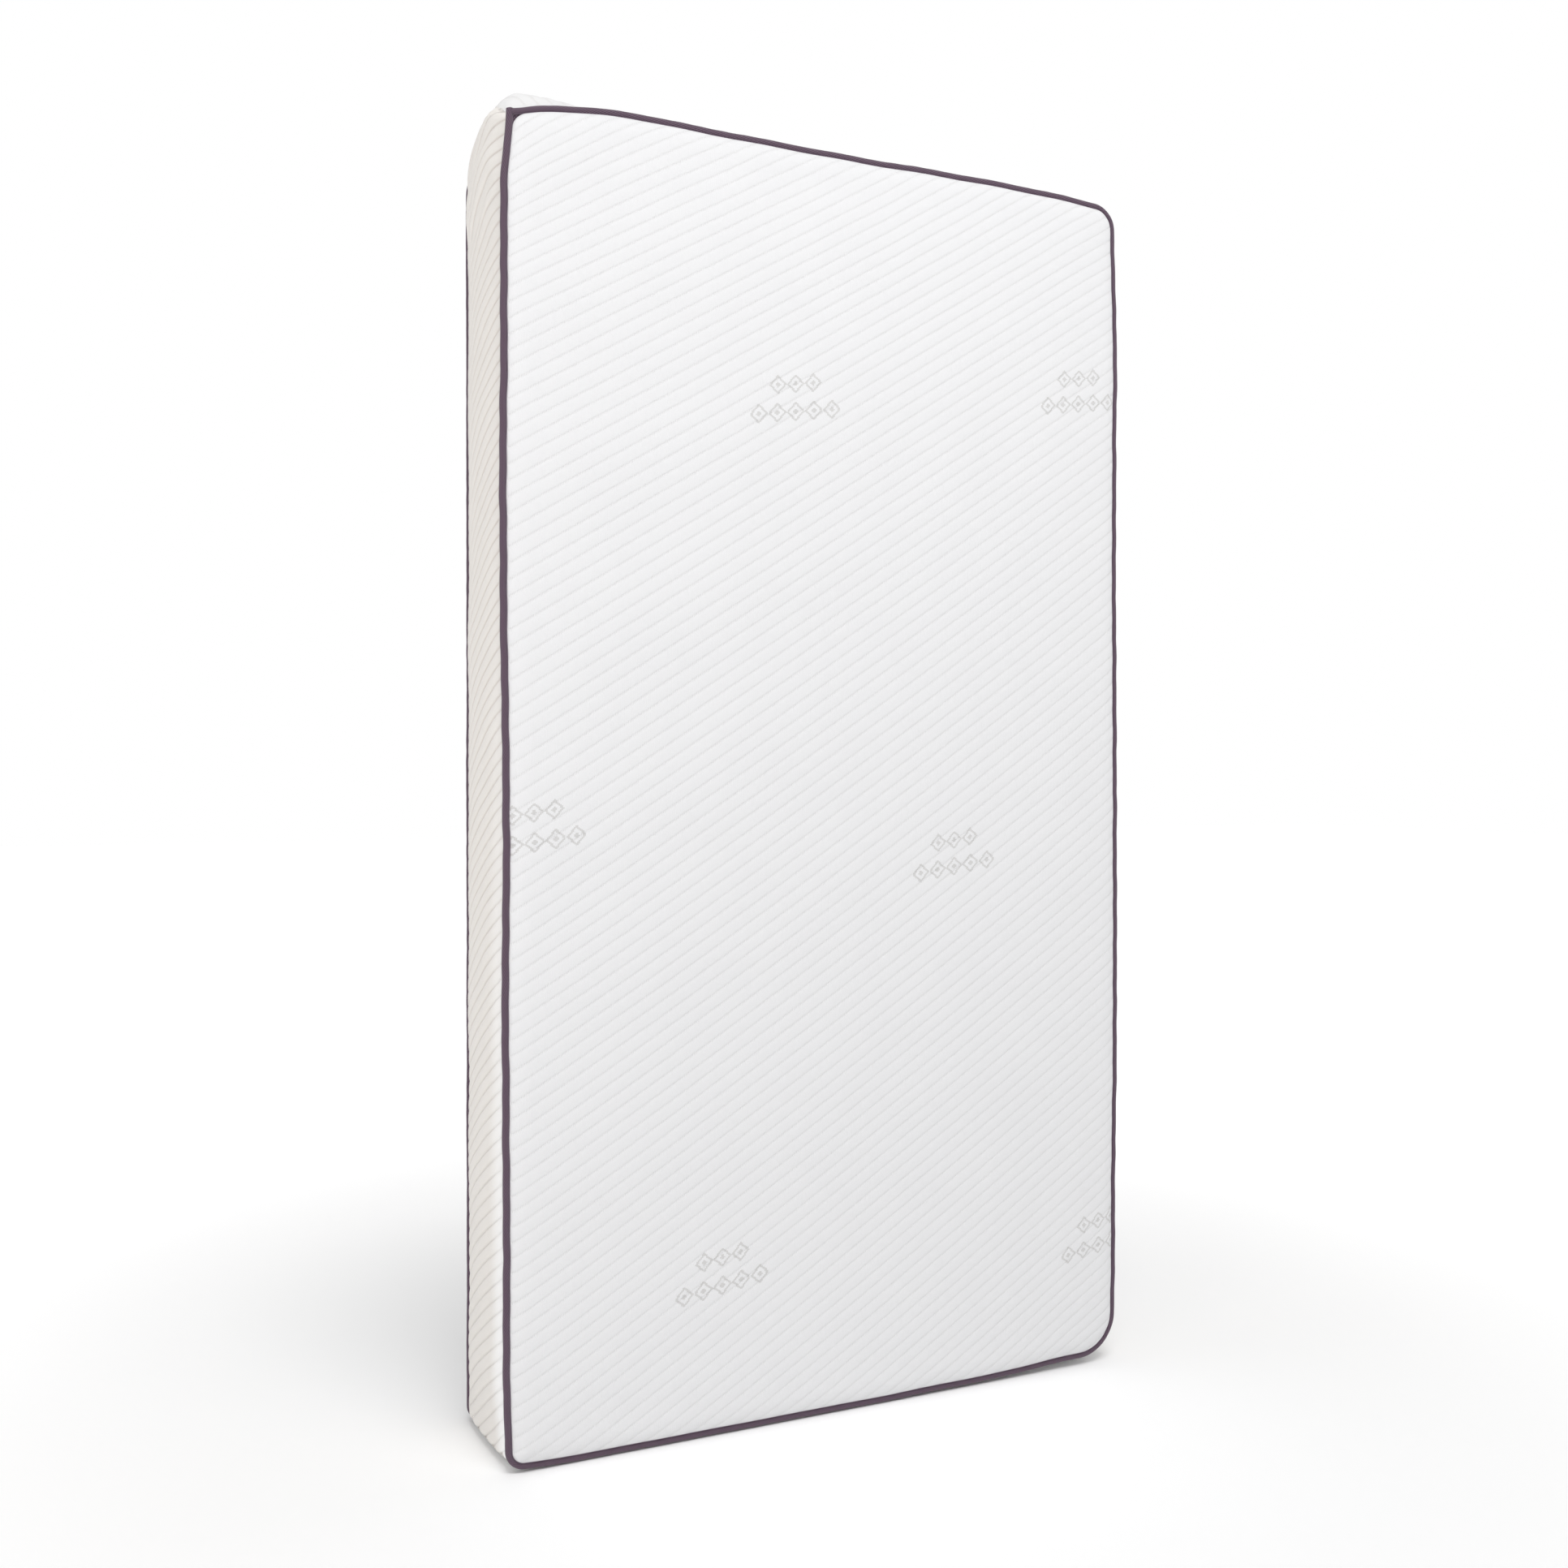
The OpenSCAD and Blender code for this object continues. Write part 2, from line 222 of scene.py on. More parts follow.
class Track:
    """The outline drawn in by inset, as lines and arcs.

    It starts at the foot-left corner and runs along the foot, up the zip side, along the head
    and down the left side. marks are the distances of the four corners and of the end.
    """

    def __init__(self, radii, inset=0.0):
        self.parts, self.marks = [], []
        corners = []
        for sx, sz in ((-1, -1), (1, -1), (1, 1), (-1, 1)):
            r = max(radii[sx, sz] - inset, LEAST_R)
            corners.append((sx * (HALF_W - inset - r), MIDDLE + sz * (MIDDLE - inset - r), r))
        run = 0.0
        for k, (cx, cz, r) in enumerate(corners):
            turn, half = math.pi + math.pi / 2 * k, math.pi / 4 * r
            first = turn + math.pi / 4 if k == 0 else turn
            arc = half if k == 0 else 2 * half
            self.parts.append((run, arc, (cx, cz, r, first)))
            self.marks.append(run if k == 0 else run + half)
            run += arc
            out = turn + math.pi / 2
            nx, nz, nr = corners[(k + 1) % 4]
            start = np.array([cx + r * math.cos(out), cz + r * math.sin(out)])
            end = np.array([nx + nr * math.cos(out), nz + nr * math.sin(out)])
            length = float(np.linalg.norm(end - start))
            self.parts.append((run, length, (start, (end - start) / length, out)))
            run += length
        cx, cz, r = corners[0]
        self.parts.append((run, math.pi / 4 * r, (cx, cz, r, math.pi)))
        self.length = run + math.pi / 4 * r
        self.marks.append(self.length)

    def at(self, s):
        """Points (x, z) and outward normals at distances s."""
        s = np.mod(np.asarray(s, float), self.length)
        p, n = np.zeros(s.shape + (2,)), np.zeros(s.shape + (2,))
        for start, length, data in self.parts:
            m = (s >= start - 1e-12) & (s <= start + length + 1e-12)
            t = s[m] - start
            if len(data) == 4:
                cx, cz, r, first = data
                angle = first + t / r
                n[m] = np.stack([np.cos(angle), np.sin(angle)], -1)
                p[m] = np.array([cx, cz]) + r * n[m]
            else:
                origin, direction, out = data
                p[m] = origin + t[:, None] * direction
                n[m] = (math.cos(out), math.sin(out))
        return p, n

    def steps(self, spacing, low=0.0, high=None):
        """Distances from low to high, about one spacing apart and closer round the corners."""
        high = self.length if high is None else high
        out = []
        for start, length, data in self.parts:
            a, b = max(start, low), min(start + length, high)
            if b - a > 1e-9:
                finest = min(spacing, data[2] / 5) if len(data) == 4 else spacing
                out.extend(np.linspace(a, b, max(2, math.ceil((b - a) / finest) + 1))[:-1])
        return np.array(out)


FRONT = Track(FRONT_R)
AT_FOOT, AT_ZIP, AT_HEAD, AT_LEFT, AT_END = FRONT.marks
TRACKS = {}                      # the front and rear outline for each inset asked for


def around(s, y, inset=0.0):
    """Points (x, z) and normals of the outline at distance s and at height y between the faces.

    s is measured along the front outline; the rear one has corners of its own.
    """
    if inset not in TRACKS:
        TRACKS[inset] = (Track(FRONT_R, inset), Track(REAR_R, inset))
    k = np.clip(np.searchsorted(FRONT.marks, s, side="right") - 1, 0, 3)
    marks = np.array(FRONT.marks)
    share = (s - marks[k]) / (marks[k + 1] - marks[k])
    ends = []
    for track in TRACKS[inset]:
        at = np.array(track.marks)
        ends.append(track.at(at[k] + share * (at[k + 1] - at[k])))
    t = np.clip((y / BORDER_HALF + 1) / 2, 0, 1)[..., None]
    p = (1 - t) * ends[0][0] + t * ends[1][0]
    n = (1 - t) * ends[0][1] + t * ends[1][1]
    return p, n / np.linalg.norm(n, axis=-1, keepdims=True)


def wander(table, at):
    """Reads a table of the seam's wander, softened over a few centimetres."""
    where, much = np.array(table).T
    total = sum(np.interp(at + shift, where, much) for shift in (-0.012, -0.006, 0, 0.006, 0.012))
    return total / 5 * MM


def settle(p):
    """Small bends of the whole cover in use, the same for every piece that meets at a seam."""
    x, y, z = p[:, 0], p[:, 1], p[:, 2]
    left = smooth((-x / HALF_W - 0.2) / 0.8)
    right = smooth((x / HALF_W - 0.4) / 0.6)
    front = smooth(0.5 - y / (2 * BORDER_HALF))
    front_seam = smooth((-y - 25 * MM) / (40 * MM))
    rear_seam = smooth((y - 25 * MM) / (40 * MM))
    clear_of_ends = smooth(z / (90 * MM)) * smooth((LENGTH - z) / (60 * MM))
    flutter = clear_of_ends * FLUTTER * ripple(z, 0 * z, 5, 0.05)
    rear_wave = clear_of_ends * REAR_WAVE * ripple(z, 0 * z, 8, 0.14)
    out = p.copy()
    out[:, 0] += left * (front * (wander(LEFT_EDGE, z) + flutter) + (1 - front) * rear_wave)
    out[:, 0] += left * smooth((y - 52 * MM) / (14 * MM)) * REAR_TUCK
    out[:, 0] -= right * front_seam * (wander(RIGHT_EDGE, z) + flutter)
    out[:, 0] -= right * rear_seam * rear_wave
    at_head = smooth((z - LENGTH + 0.2) / 0.2)
    at_foot = smooth((0.16 - z) / 0.16)
    drop = wander(HEAD_EDGE, x) + 0.3 * MM * ripple(x, 0 * x, 11, 0.06)
    out[:, 2] += at_head * (1 - smooth((y + 72 * MM) / (45 * MM))) * drop
    out[:, 2] += at_head * rear_seam * 0.6 * MM * ripple(x, 0 * x, 12, 0.18)
    lift = wander(FOOT_EDGE, x) + 0.25 * MM * (1 + np.clip(ripple(x, 0 * x, 13, 0.09), -1, 1))
    out[:, 2] += at_foot * front_seam * lift
    return out


# ---------------------------------------------------------------- cloth simulation
CAGE_X, CAGE_Z, CAGE_Y = 24, 44, 6
SIM_FRAMES = 22
CLOTH = {"quality": 6, "mass": 0.25, "tension_stiffness": 12, "compression_stiffness": 12,
         "shear_stiffness": 4, "bending_stiffness": 0.6, "air_damping": 2,
         "vertex_group_mass": "seams", "use_pressure": True, "uniform_pressure_force": 3,
         "shrink_min": -0.012}


def cage():
    """A coarse closed cover: two face grids joined by a border ring, with its index tables."""
    xs = np.linspace(-HALF_W, HALF_W, CAGE_X + 1)
    zs = np.linspace(0, LENGTH, CAGE_Z + 1)
    ys = np.linspace(-PIPING_Y, PIPING_Y, CAGE_Y + 1)
    points, faces = [], []

    def add(x, y, z):
        points.append((x, y, z))
        return len(points) - 1

    front = [[add(x, ys[0], z) for z in zs] for x in xs]
    back = [[add(x, ys[-1], z) for z in zs] for x in xs]
    for i in range(CAGE_X):
        for j in range(CAGE_Z):
            faces.append((front[i][j], front[i + 1][j], front[i + 1][j + 1], front[i][j + 1]))
            faces.append((back[i][j], back[i][j + 1], back[i + 1][j + 1], back[i + 1][j]))
    loop = [(i, 0) for i in range(CAGE_X)] + [(CAGE_X, j) for j in range(CAGE_Z)]
    loop += [(i, CAGE_Z) for i in range(CAGE_X, 0, -1)] + [(0, j) for j in range(CAGE_Z, 0, -1)]
    ring = []
    for i, j in loop:
        ring.append([front[i][j]] + [add(xs[i], y, zs[j]) for y in ys[1:-1]] + [back[i][j]])
    for k, a in enumerate(ring):
        b = ring[(k + 1) % len(ring)]
        for m in range(CAGE_Y):
            faces.append((a[m], a[m + 1], b[m + 1], b[m]))
    return np.array(points), faces, np.array(front), np.array(back), np.array(ring)


def swell():
    """Blows the cage up as cloth. Returns how far the two faces and the border move out."""
    points, faces, front, back, ring = cage()
    mesh = bpy.data.meshes.new("cage")
    mesh.from_pydata([tuple(p) for p in points], [], faces)
    body = added("cage", mesh)
    seams = body.vertex_groups.new(name="seams")
    seams.add([int(i) for i in np.unique(ring[:, [0, -1]])], 1.0, "REPLACE")
    cloth = body.modifiers.new("cloth", "CLOTH")
    with_settings(cloth.settings, **CLOTH).effector_weights.gravity = 0
    with_settings(cloth.point_cache, frame_start=1, frame_end=SIM_FRAMES)
    scene = bpy.context.scene
    for number in range(1, SIM_FRAMES + 1):
        scene.frame_set(number)
    shape = body.evaluated_get(bpy.context.evaluated_depsgraph_get()).to_mesh()
    moved = np.empty(len(points) * 3, np.float32)
    shape.vertices.foreach_get("co", moved)
    moved = moved.reshape(-1, 3) - points
    scene.frame_set(1)
    bpy.data.objects.remove(body)
    bpy.data.meshes.remove(mesh)
    place = points[ring][..., [0, 2]] - np.array([0, MIDDLE])
    wide = np.abs(place / np.array([HALF_W, MIDDLE]))
    on_side = (wide[..., 0] >= wide[..., 1])[..., None]
    out = np.where(on_side, np.array([1, 0]), np.array([0, 1])) * np.sign(place)
    return -moved[front][..., 1], moved[back][..., 1], (moved[ring][..., [0, 2]] * out).sum(-1)


def capped(move, most, softness):
    """The simulated move as a share of its reach, levelled off at most as foam inside would."""
    share = np.clip(move / np.percentile(move, 97), 0, 1.3)
    return most * np.tanh(share * softness) / math.tanh(softness)


def cubic(grid, u, v):
    """Smooth reading of a grid at fractional indices."""
    def weights(t):
        return (
            ((2 - t) * t - 1) * t / 2,
            ((3 * t - 5) * t * t + 2) / 2,
            ((4 - 3 * t) * t + 1) * t / 2,
            (t - 1) * t * t / 2,
        )

    iu = np.clip(np.floor(u).astype(int), 0, grid.shape[0] - 2)
    iv = np.clip(np.floor(v).astype(int), 0, grid.shape[1] - 2)
    wu, wv = weights(u - iu), weights(v - iv)
    total = np.zeros_like(u)
    for a in range(4):
        row = np.clip(iu + a - 1, 0, grid.shape[0] - 1)
        for b in range(4):
            total += wu[a] * wv[b] * grid[row, np.clip(iv + b - 1, 0, grid.shape[1] - 1)]
    return total


FRONT_MOVE, BACK_MOVE, RING_MOVE = swell()
FRONT_MOVE = capped(FRONT_MOVE, FACE_SWELL, 2.2)
BACK_MOVE = capped(BACK_MOVE, FACE_SWELL, 2.2)
RING_MOVE = capped(RING_MOVE, BORDER_SWELL, 0.8)
RING_MOVE = sum(np.roll(RING_MOVE, k, 0) * w for k, w in zip(range(-2, 3), (1, 2, 3, 2, 1))) / 9


def on_cage(x, z):
    """Fractional indices on the grid of a face."""
    return np.clip((x / HALF_W + 1) / 2, 0, 1) * CAGE_X, np.clip(z / LENGTH, 0, 1) * CAGE_Z


def ring_swell(p, y):
    """Simulated swell of the border at outline points p and heights y."""
    x, z = p[..., 0], p[..., 1]
    along_x, along_z = on_cage(x, z)
    side = np.abs(x) / HALF_W >= np.abs(z - MIDDLE) / MIDDLE
    k = np.where(
        side,
        np.where(x > 0, CAGE_X + along_z, 2 * (CAGE_X + CAGE_Z) - along_z),
        np.where(z < MIDDLE, along_x, 2 * CAGE_X + CAGE_Z - along_x),
    )
    count = RING_MOVE.shape[0]
    wrapped = np.concatenate([RING_MOVE[-2:], RING_MOVE, RING_MOVE[:3]])
    return cubic(wrapped, np.mod(k, count) + 2, np.clip((y / PIPING_Y + 1) / 2, 0, 1) * CAGE_Y)


# ---------------------------------------------------------------- base forms of the cover
def face_form(side, radii, move):
    """The soft surface of a face over its pattern (x, z). side is -1 at the front."""
    def form(q):
        x, z = q[:, 0], q[:, 1]
        rim = np.maximum(inside_by(x, z, radii, PANEL_IN), 0)
        t = np.clip(rim / ROLL_W, 0, 1)
        rise = RIM_H + (PANEL_RISE - RIM_H) * (1 - (1 - t) ** ROLL_POWER) ** (1 / ROLL_POWER)
        proud = cubic(move, *on_cage(x, z)) + 0.5 * MM * ripple(x, z, 21 + side, 0.22)
        proud = proud * smooth(rim / (3 * ROLL_W))
        out = np.zeros((len(q), 3))
        out[:, 1] = side
        return np.stack([x, side * (PANEL_BASE + rise + proud), z], -1), out
    return form


def slot_edge(s):
    """Distance of a zip strip's inner edge from the zip's middle line."""
    z = around(s, 0 * s)[0][:, 1]
    opened = smooth((z - SLOT_FOOT) / (7 * MM)) * smooth((SLOT_HEAD - z) / (7 * MM))
    return SLOT_SHUT + (SLOT_HALF_W - SLOT_SHUT) * opened


def border_out(s, y, p):
    """How far the border stands out of the outline."""
    x, z = p[:, 0], p[:, 1]
    share = y / BORDER_HALF
    arch = 1 - np.abs(share) ** 2.6
    on_floor = smooth((z - 8 * MM) / (80 * MM))
    by_zip = smooth((x + 0.1) / 0.4)
    near_slot = 1 - smooth((np.abs(y) - 8 * MM) / (24 * MM))
    out = ring_swell(p, y) * (1 - 0.45 * by_zip)
    from_corner = np.abs(s - AT_LEFT)
    out += CORNER_SWELL * arch * bell(from_corner / CORNER_REACH)
    along = AT_LEFT - s
    off_seam = smooth((y + BORDER_HALF) / (18 * MM))
    out += CORNER_BUMP * bell(from_corner / (30 * MM)) * bell((y + 26 * MM) / (36 * MM)) * off_seam
    standing = smooth((along + 4 * MM) / (26 * MM)) * smooth((132 * MM - along) / (95 * MM))
    out += LOBE * standing * bell((y + 40 * MM) / (26 * MM)) * off_seam
    folds = FOLD * np.sin((s - y * 0.55) / (9 * MM) + 2.2 * ripple(s, y, 31, 0.09))
    out += folds * arch * bell((s - AT_LEFT - 60 * MM) / (55 * MM))
    out += 0.5 * MM * arch * ripple(s, y, 33, 0.14)
    for mark in FRONT.marks:
        out -= CORNER_DIP * bell((s - mark) / (5 * MM)) * smooth((BORDER_HALF - np.abs(y)) / (9 * MM))
    out -= SEAM_ROLL * bell((y + BORDER_HALF) / (7 * MM)) * (1 - by_zip)
    out *= on_floor * (1 - by_zip * near_slot)
    return out - SEAM_DIP * np.abs(share) ** 2.2 * (0.35 + 0.65 * on_floor * (1 - by_zip * near_slot))


def border_form(q):
    """The soft surface of the border over its pattern (s, y)."""
    s, y = q[:, 0], q[:, 1]
    p, n = around(s, y)
    edge = np.where(on_strip(s), np.abs(y) - slot_edge(s), 1.0)
    t = np.clip(edge / HEM_ROLL_W, 0, 1)
    roll = HEM_ROLL * (1 - np.sqrt(np.maximum(1 - (1 - t) ** 2, 0)))
    stood = p + n * (border_out(s, y, p) - roll)[:, None]
    return spatial(stood, y), spatial(n)


def on_strip(s):
    return (s > AT_ZIP) & (s < AT_HEAD)


def stretched(z):
    """How far the ribs of a face are moved up at height z."""
    return RIB_STRETCH * np.sin(math.tau * (z - STRETCH_FROM) / STRETCH_SPAN)


def face_phase(x, z):
    """Rib count at a point of a face. Grooves are at whole numbers."""
    return (z - RIB_SLOPE * x - RIB_BEND * x * x - stretched(z)) / RIB_PITCH


def face_line(x, phase):
    """Height z at which a rib line of that phase crosses x."""
    z = phase * RIB_PITCH + RIB_SLOPE * x + RIB_BEND * x * x
    start = z
    for _ in range(8):
        z = start + stretched(z)
    return z


def border_shift(s, y):
    """Extra wander of the border's ribs, strongest where the cover bunches at the head-left."""
    bunch = bell((s - AT_LEFT - 70 * MM) / (90 * MM))
    return (0.5 + 2.6 * bunch) * MM * ripple(s, y, 41, 0.1)


def border_phase(s, y):
    return (s - RIB_SLOPE * y - border_shift(s, y)) / RIB_PITCH


def border_line(y, phase):
    """Distance s at which a rib line of that phase crosses y."""
    start = phase * RIB_PITCH + RIB_SLOPE * y
    s = start
    for _ in range(8):
        s = start + border_shift(s, y)
    return s


def relief(phase, depth, rim):
    """Height of rounded ribs between narrow grooves, pinched deeper beside a seam."""
    from_groove = np.abs(2 * (phase - np.round(phase)))
    pinch = 1 + 0.9 * bell(rim / (5 * MM))
    return -depth * pinch * (1 - from_groove) ** 2.6


# ---------------------------------------------------------------- mesh helpers
def shaped(name, points, faces, crease=50, bends=True, hollow_from=None):
    """A smooth-shaded piece with its normals facing out, or into a hollow for its last faces."""
    points = np.asarray(points, float)
    if bends:
        points = settle(points)
    mesh = bpy.data.meshes.new(name + "_fine")
    mesh.from_pydata(points.tolist(), [], faces)
    mesh.validate()
    work = bmesh.new()
    work.from_mesh(mesh)
    bmesh.ops.recalc_face_normals(work, faces=work.faces)
    if hollow_from is not None:
        work.faces.ensure_lookup_table()
        bmesh.ops.reverse_faces(work, faces=work.faces[hollow_from:])
    work.to_mesh(mesh)
    work.free()
    mesh.polygons.foreach_set("use_smooth", [True] * len(mesh.polygons))
    mesh.set_sharp_from_angle(angle=math.radians(crease))
    return added(name + "_fine", mesh)


def mark(piece, name, values):
    """Stores a vector for each vertex, which the material reads."""
    layer = piece.data.attributes.new(name, "FLOAT_VECTOR", "POINT")
    layer.data.foreach_set("vector", np.asarray(values, np.float32).ravel())


def finished(piece, node, material, body="mattress"):
    """Puts a piece in a CAD node's place, with its material."""
    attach(piece, body)
    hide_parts(*([node] if isinstance(node, str) else node))
    piece.data.materials.append(material)
    return piece


def within(points, loop):
    """Which points lie inside a closed loop, by counting the edges crossed on the way out."""
    crossed = np.zeros(len(points), bool)
    x, y = points[:, 0], points[:, 1]
    for (ax, ay), (bx, by) in zip(loop, np.roll(loop, -1, 0)):
        if ay != by:
            crossed ^= ((ay > y) != (by > y)) & (x < ax + (y - ay) * (bx - ax) / (by - ay))
    return crossed


def triangulated(loop, lines):
    """Triangles of a flat pattern that keep to the lines, and its edge as an ordered loop."""
    points, edges = [tuple(p) for p in loop], []
    edges.extend((i, (i + 1) % len(loop)) for i in range(len(loop)))
    for line in lines:
        base = len(points)
        points.extend(tuple(p) for p in line)
        edges.extend((base + i, base + i + 1) for i in range(len(line) - 1))
    outline = [list(range(len(loop)))]
    made = delaunay_2d_cdt([Vector(p) for p in points], edges, outline, 1, 1e-7, False)
    flat, triangles = np.array([tuple(v) for v in made[0]]), np.array(made[2])
    triangles = triangles[within(flat[triangles].mean(1), np.asarray(loop))]
    used, triangles = np.unique(triangles, return_inverse=True)
    flat, triangles = flat[used], triangles.reshape(-1, 3)
    ahead = np.concatenate([triangles[:, [0, 1]], triangles[:, [1, 2]], triangles[:, [2, 0]]])
    count = len(flat)
    alone = ahead[~np.isin(ahead[:, 0] * count + ahead[:, 1], ahead[:, 1] * count + ahead[:, 0])]
    following = dict(alone.tolist())
    edge = [int(alone[0, 0])]
    while following[edge[-1]] != edge[0]:
        edge.append(following[edge[-1]])
    return flat, triangles, edge


def placed(form, flat):
    """Points of a form over flat points, and the normals there."""
    step = 0.15 * MM
    base, out = form(flat)
    along = form(flat + (step, 0))[0] - form(flat - (step, 0))[0]
    across = form(flat + (0, step))[0] - form(flat - (0, step))[0]
    normal = np.cross(along, across)
    normal *= np.sign((normal * out).sum(1, keepdims=True))
    length = np.linalg.norm(normal, axis=1, keepdims=True)
    return base, np.where(length > 1e-12, normal / np.maximum(length, 1e-12), out)


def quilted(name, loop, lines, form, height, under, under_lines, knit, folded=0.0):
    """A padded knit piece, ribbed outside, plain inside and closed round its edge.

    folded is how far the knit's pattern goes on round the edge, towards the pattern's middle line.
    """
    flat, triangles, edge = triangulated(loop, lines)
    base, normal = placed(form, flat)
    outer = base + normal * height(flat)[:, None]
    in_flat, in_triangles, _ = triangulated(flat[edge], under_lines)
    inner = under(in_flat)
    nearest = {tuple(np.round(p, 8)): i for i, p in enumerate(in_flat)}
    ring = [nearest[tuple(np.round(p, 8))] for p in flat[edge]]
    count = len(outer)
    faces = triangles.tolist() + (in_triangles[:, ::-1] + count).tolist()
    for i, a in enumerate(edge):
        j = (i + 1) % len(edge)
        faces.append((edge[j], a, ring[i] + count, ring[j] + count))
    piece = shaped(name, np.concatenate([outer, inner]), faces, 60)
    turned_in = in_flat - np.sign(in_flat) * (0, folded)
    mark(piece, "knit", np.concatenate([knit(flat), knit(turned_in)]))
    return piece, np.concatenate([flat, in_flat])


def grid_faces(rings, around_count, closed):
    """Quads between rings of points, joined end to end if closed, or else capped."""
    a = np.arange(rings)[:, None] * around_count
    b = np.arange(around_count)[None, :]
    c = (b + 1) % around_count
    n = rings if closed else rings - 1
    following = np.roll(a, -1, 0)[:n]
    a = a[:n]
    quads = np.stack([a + b, a + c, following + c, following + b], -1).reshape(-1, 4).tolist()
    if not closed:
        quads.append(list(range(around_count))[::-1])
        quads.append(list(range((rings - 1) * around_count, rings * around_count)))
    return quads


def swept(centres, side, up, section, closed):
    """Points and faces of a section run along a line. side and up are its two axes."""
    section = np.broadcast_to(section, (len(centres),) + np.shape(section)[-2:])
    points = centres[:, None] + section[..., :1] * side[:, None] + section[..., 1:] * up[:, None]
    return points.reshape(-1, 3), grid_faces(len(centres), section.shape[1], closed)


def ring_section(radius, sides, start=0.0):
    angle = start + math.tau * np.arange(sides) / sides
    return np.stack([radius * np.cos(angle), radius * np.sin(angle)], -1)


def merged(parts):
    """Several sets of points and faces as one."""
    points, faces, base = [], [], 0
    for p, f in parts:
        points.append(p)
        faces.extend([i + base for i in face] for face in f)
        base += len(p)
    return np.concatenate(points), faces


# ---------------------------------------------------------------- materials
class Value:
    """A number that a material works out, which takes part in sums like any other."""

    def __init__(self, graph, socket):
        self.graph, self.socket = graph, socket

    def __add__(self, other):
        return self.graph.math("ADD", self, other)

    def __radd__(self, other):
        return self.graph.math("ADD", other, self)

    def __sub__(self, other):
        return self.graph.math("SUBTRACT", self, other)

    def __mul__(self, other):
        return self.graph.math("MULTIPLY", self, other)

    def __abs__(self):
        return self.graph.math("ABSOLUTE", self)


class Graph:
    """Short hand for building one procedural material."""

    def __init__(self, name, roughness=0.8, metallic=0.0, specular=0.3, sheen=0.0):
        self.material = bpy.data.materials.new(name)
        self.material.use_nodes = True
        self.tree = self.material.node_tree
        self.shader = self.tree.nodes["Principled BSDF"]
        self.shader.inputs["Roughness"].default_value = roughness
        self.shader.inputs["Metallic"].default_value = metallic
        self.shader.inputs["Specular IOR Level"].default_value = specular
        self.shader.inputs["Sheen Weight"].default_value = sheen
        self.shader.inputs["Sheen Roughness"].default_value = 0.5

    def put(self, socket, value):
        value = value.socket if isinstance(value, Value) else value
        if isinstance(value, bpy.types.NodeSocket):
            self.tree.links.new(value, socket)
        else:
            socket.default_value = value

    def node(self, kind, **settings):
        return with_settings(self.tree.nodes.new(kind), **settings)

    def math(self, operation, a, b=0.0, c=0.0):
        node = self.node("ShaderNodeMath", operation=operation)
        for socket, value in zip(node.inputs, (a, b, c)):
            self.put(socket, value)
        return Value(self, node.outputs[0])

    def ramp(self, value, low, high):
        """0 below low and 1 above high, smoothly, or the other way round if low is above high."""
        node = self.node("ShaderNodeMapRange", interpolation_type="SMOOTHSTEP")
        bottom, top = (0.0, 1.0) if low < high else (1.0, 0.0)
        values = (value, min(low, high), max(low, high), bottom, top)
        for socket, v in zip(node.inputs, values):
            self.put(socket, v)
        return Value(self, node.outputs[0])

    def split(self, vector):
        node = self.node("ShaderNodeSeparateXYZ")
        self.put(node.inputs[0], vector)
        return [Value(self, part) for part in node.outputs]

    def join(self, x, y, z=0.0):
        node = self.node("ShaderNodeCombineXYZ")
        for socket, value in zip(node.inputs, (x, y, z)):
            self.put(socket, value)
        return node.outputs[0]

    def stored(self, name):
        node = self.node("ShaderNodeAttribute", attribute_name=name)
        return self.split(node.outputs["Vector"])

    def place(self):
        return self.node("ShaderNodeTexCoord").outputs["Object"]

    def noise(self, vector, size, detail=2.0, roughness=0.5):
        """Soft noise between 0 and 1 with lumps of about that size."""
        node = self.node("ShaderNodeTexNoise")
        self.put(node.inputs["Vector"], vector)
        node.inputs["Scale"].default_value = 1 / size
        node.inputs["Detail"].default_value = detail
        node.inputs["Roughness"].default_value = roughness
        return Value(self, node.outputs["Fac"])

    def cells(self, vector, size):
        node = self.node("ShaderNodeTexVoronoi")
        self.put(node.inputs["Vector"], vector)
        node.inputs["Scale"].default_value = 1 / size
        return Value(self, node.outputs["Distance"])

    def wave(self, value, period):
        """Sine of value between 0 and 1."""
        turn = self.math("SINE", value * (math.tau / period))
        return self.math("MULTIPLY_ADD", turn, 0.5, 0.5)

    def snapped(self, value, step):
        """The middle of the step that value falls in."""
        return (self.math("FLOOR", value * (1 / step)) + 0.5) * step

    def apart(self, value, period):
        """Distance of value from the nearest whole number of periods, as a share of one."""
        share = value * (1 / period)
        return abs(share - self.math("ROUND", share))

    def blend(self, share, a, b):
        node = self.node("ShaderNodeMix", data_type="RGBA")
        self.put(node.inputs[0], share)
        self.put(node.inputs[6], a)
        self.put(node.inputs[7], b)
        return node.outputs[2]

    def colour(self, value):
        self.put(self.shader.inputs["Base Color"], value)

    def bump(self, height, distance):
        """Relief of the surface: height from 0 to 1 over that distance."""
        node = self.node("ShaderNodeBump")
        node.inputs["Strength"].default_value = 1.0
        node.inputs["Distance"].default_value = distance
        self.put(node.inputs["Height"], height)
        self.put(self.shader.inputs["Normal"], node.outputs["Normal"])


def rgb(r, g, b):
    """A colour from its screen values of 0 to 255."""
    def linear(c):
        c /= 255
        return c / 12.92 if c <= 0.04045 else ((c + 0.055) / 1.055) ** 2.4
    return (linear(r), linear(g), linear(b), 1.0)


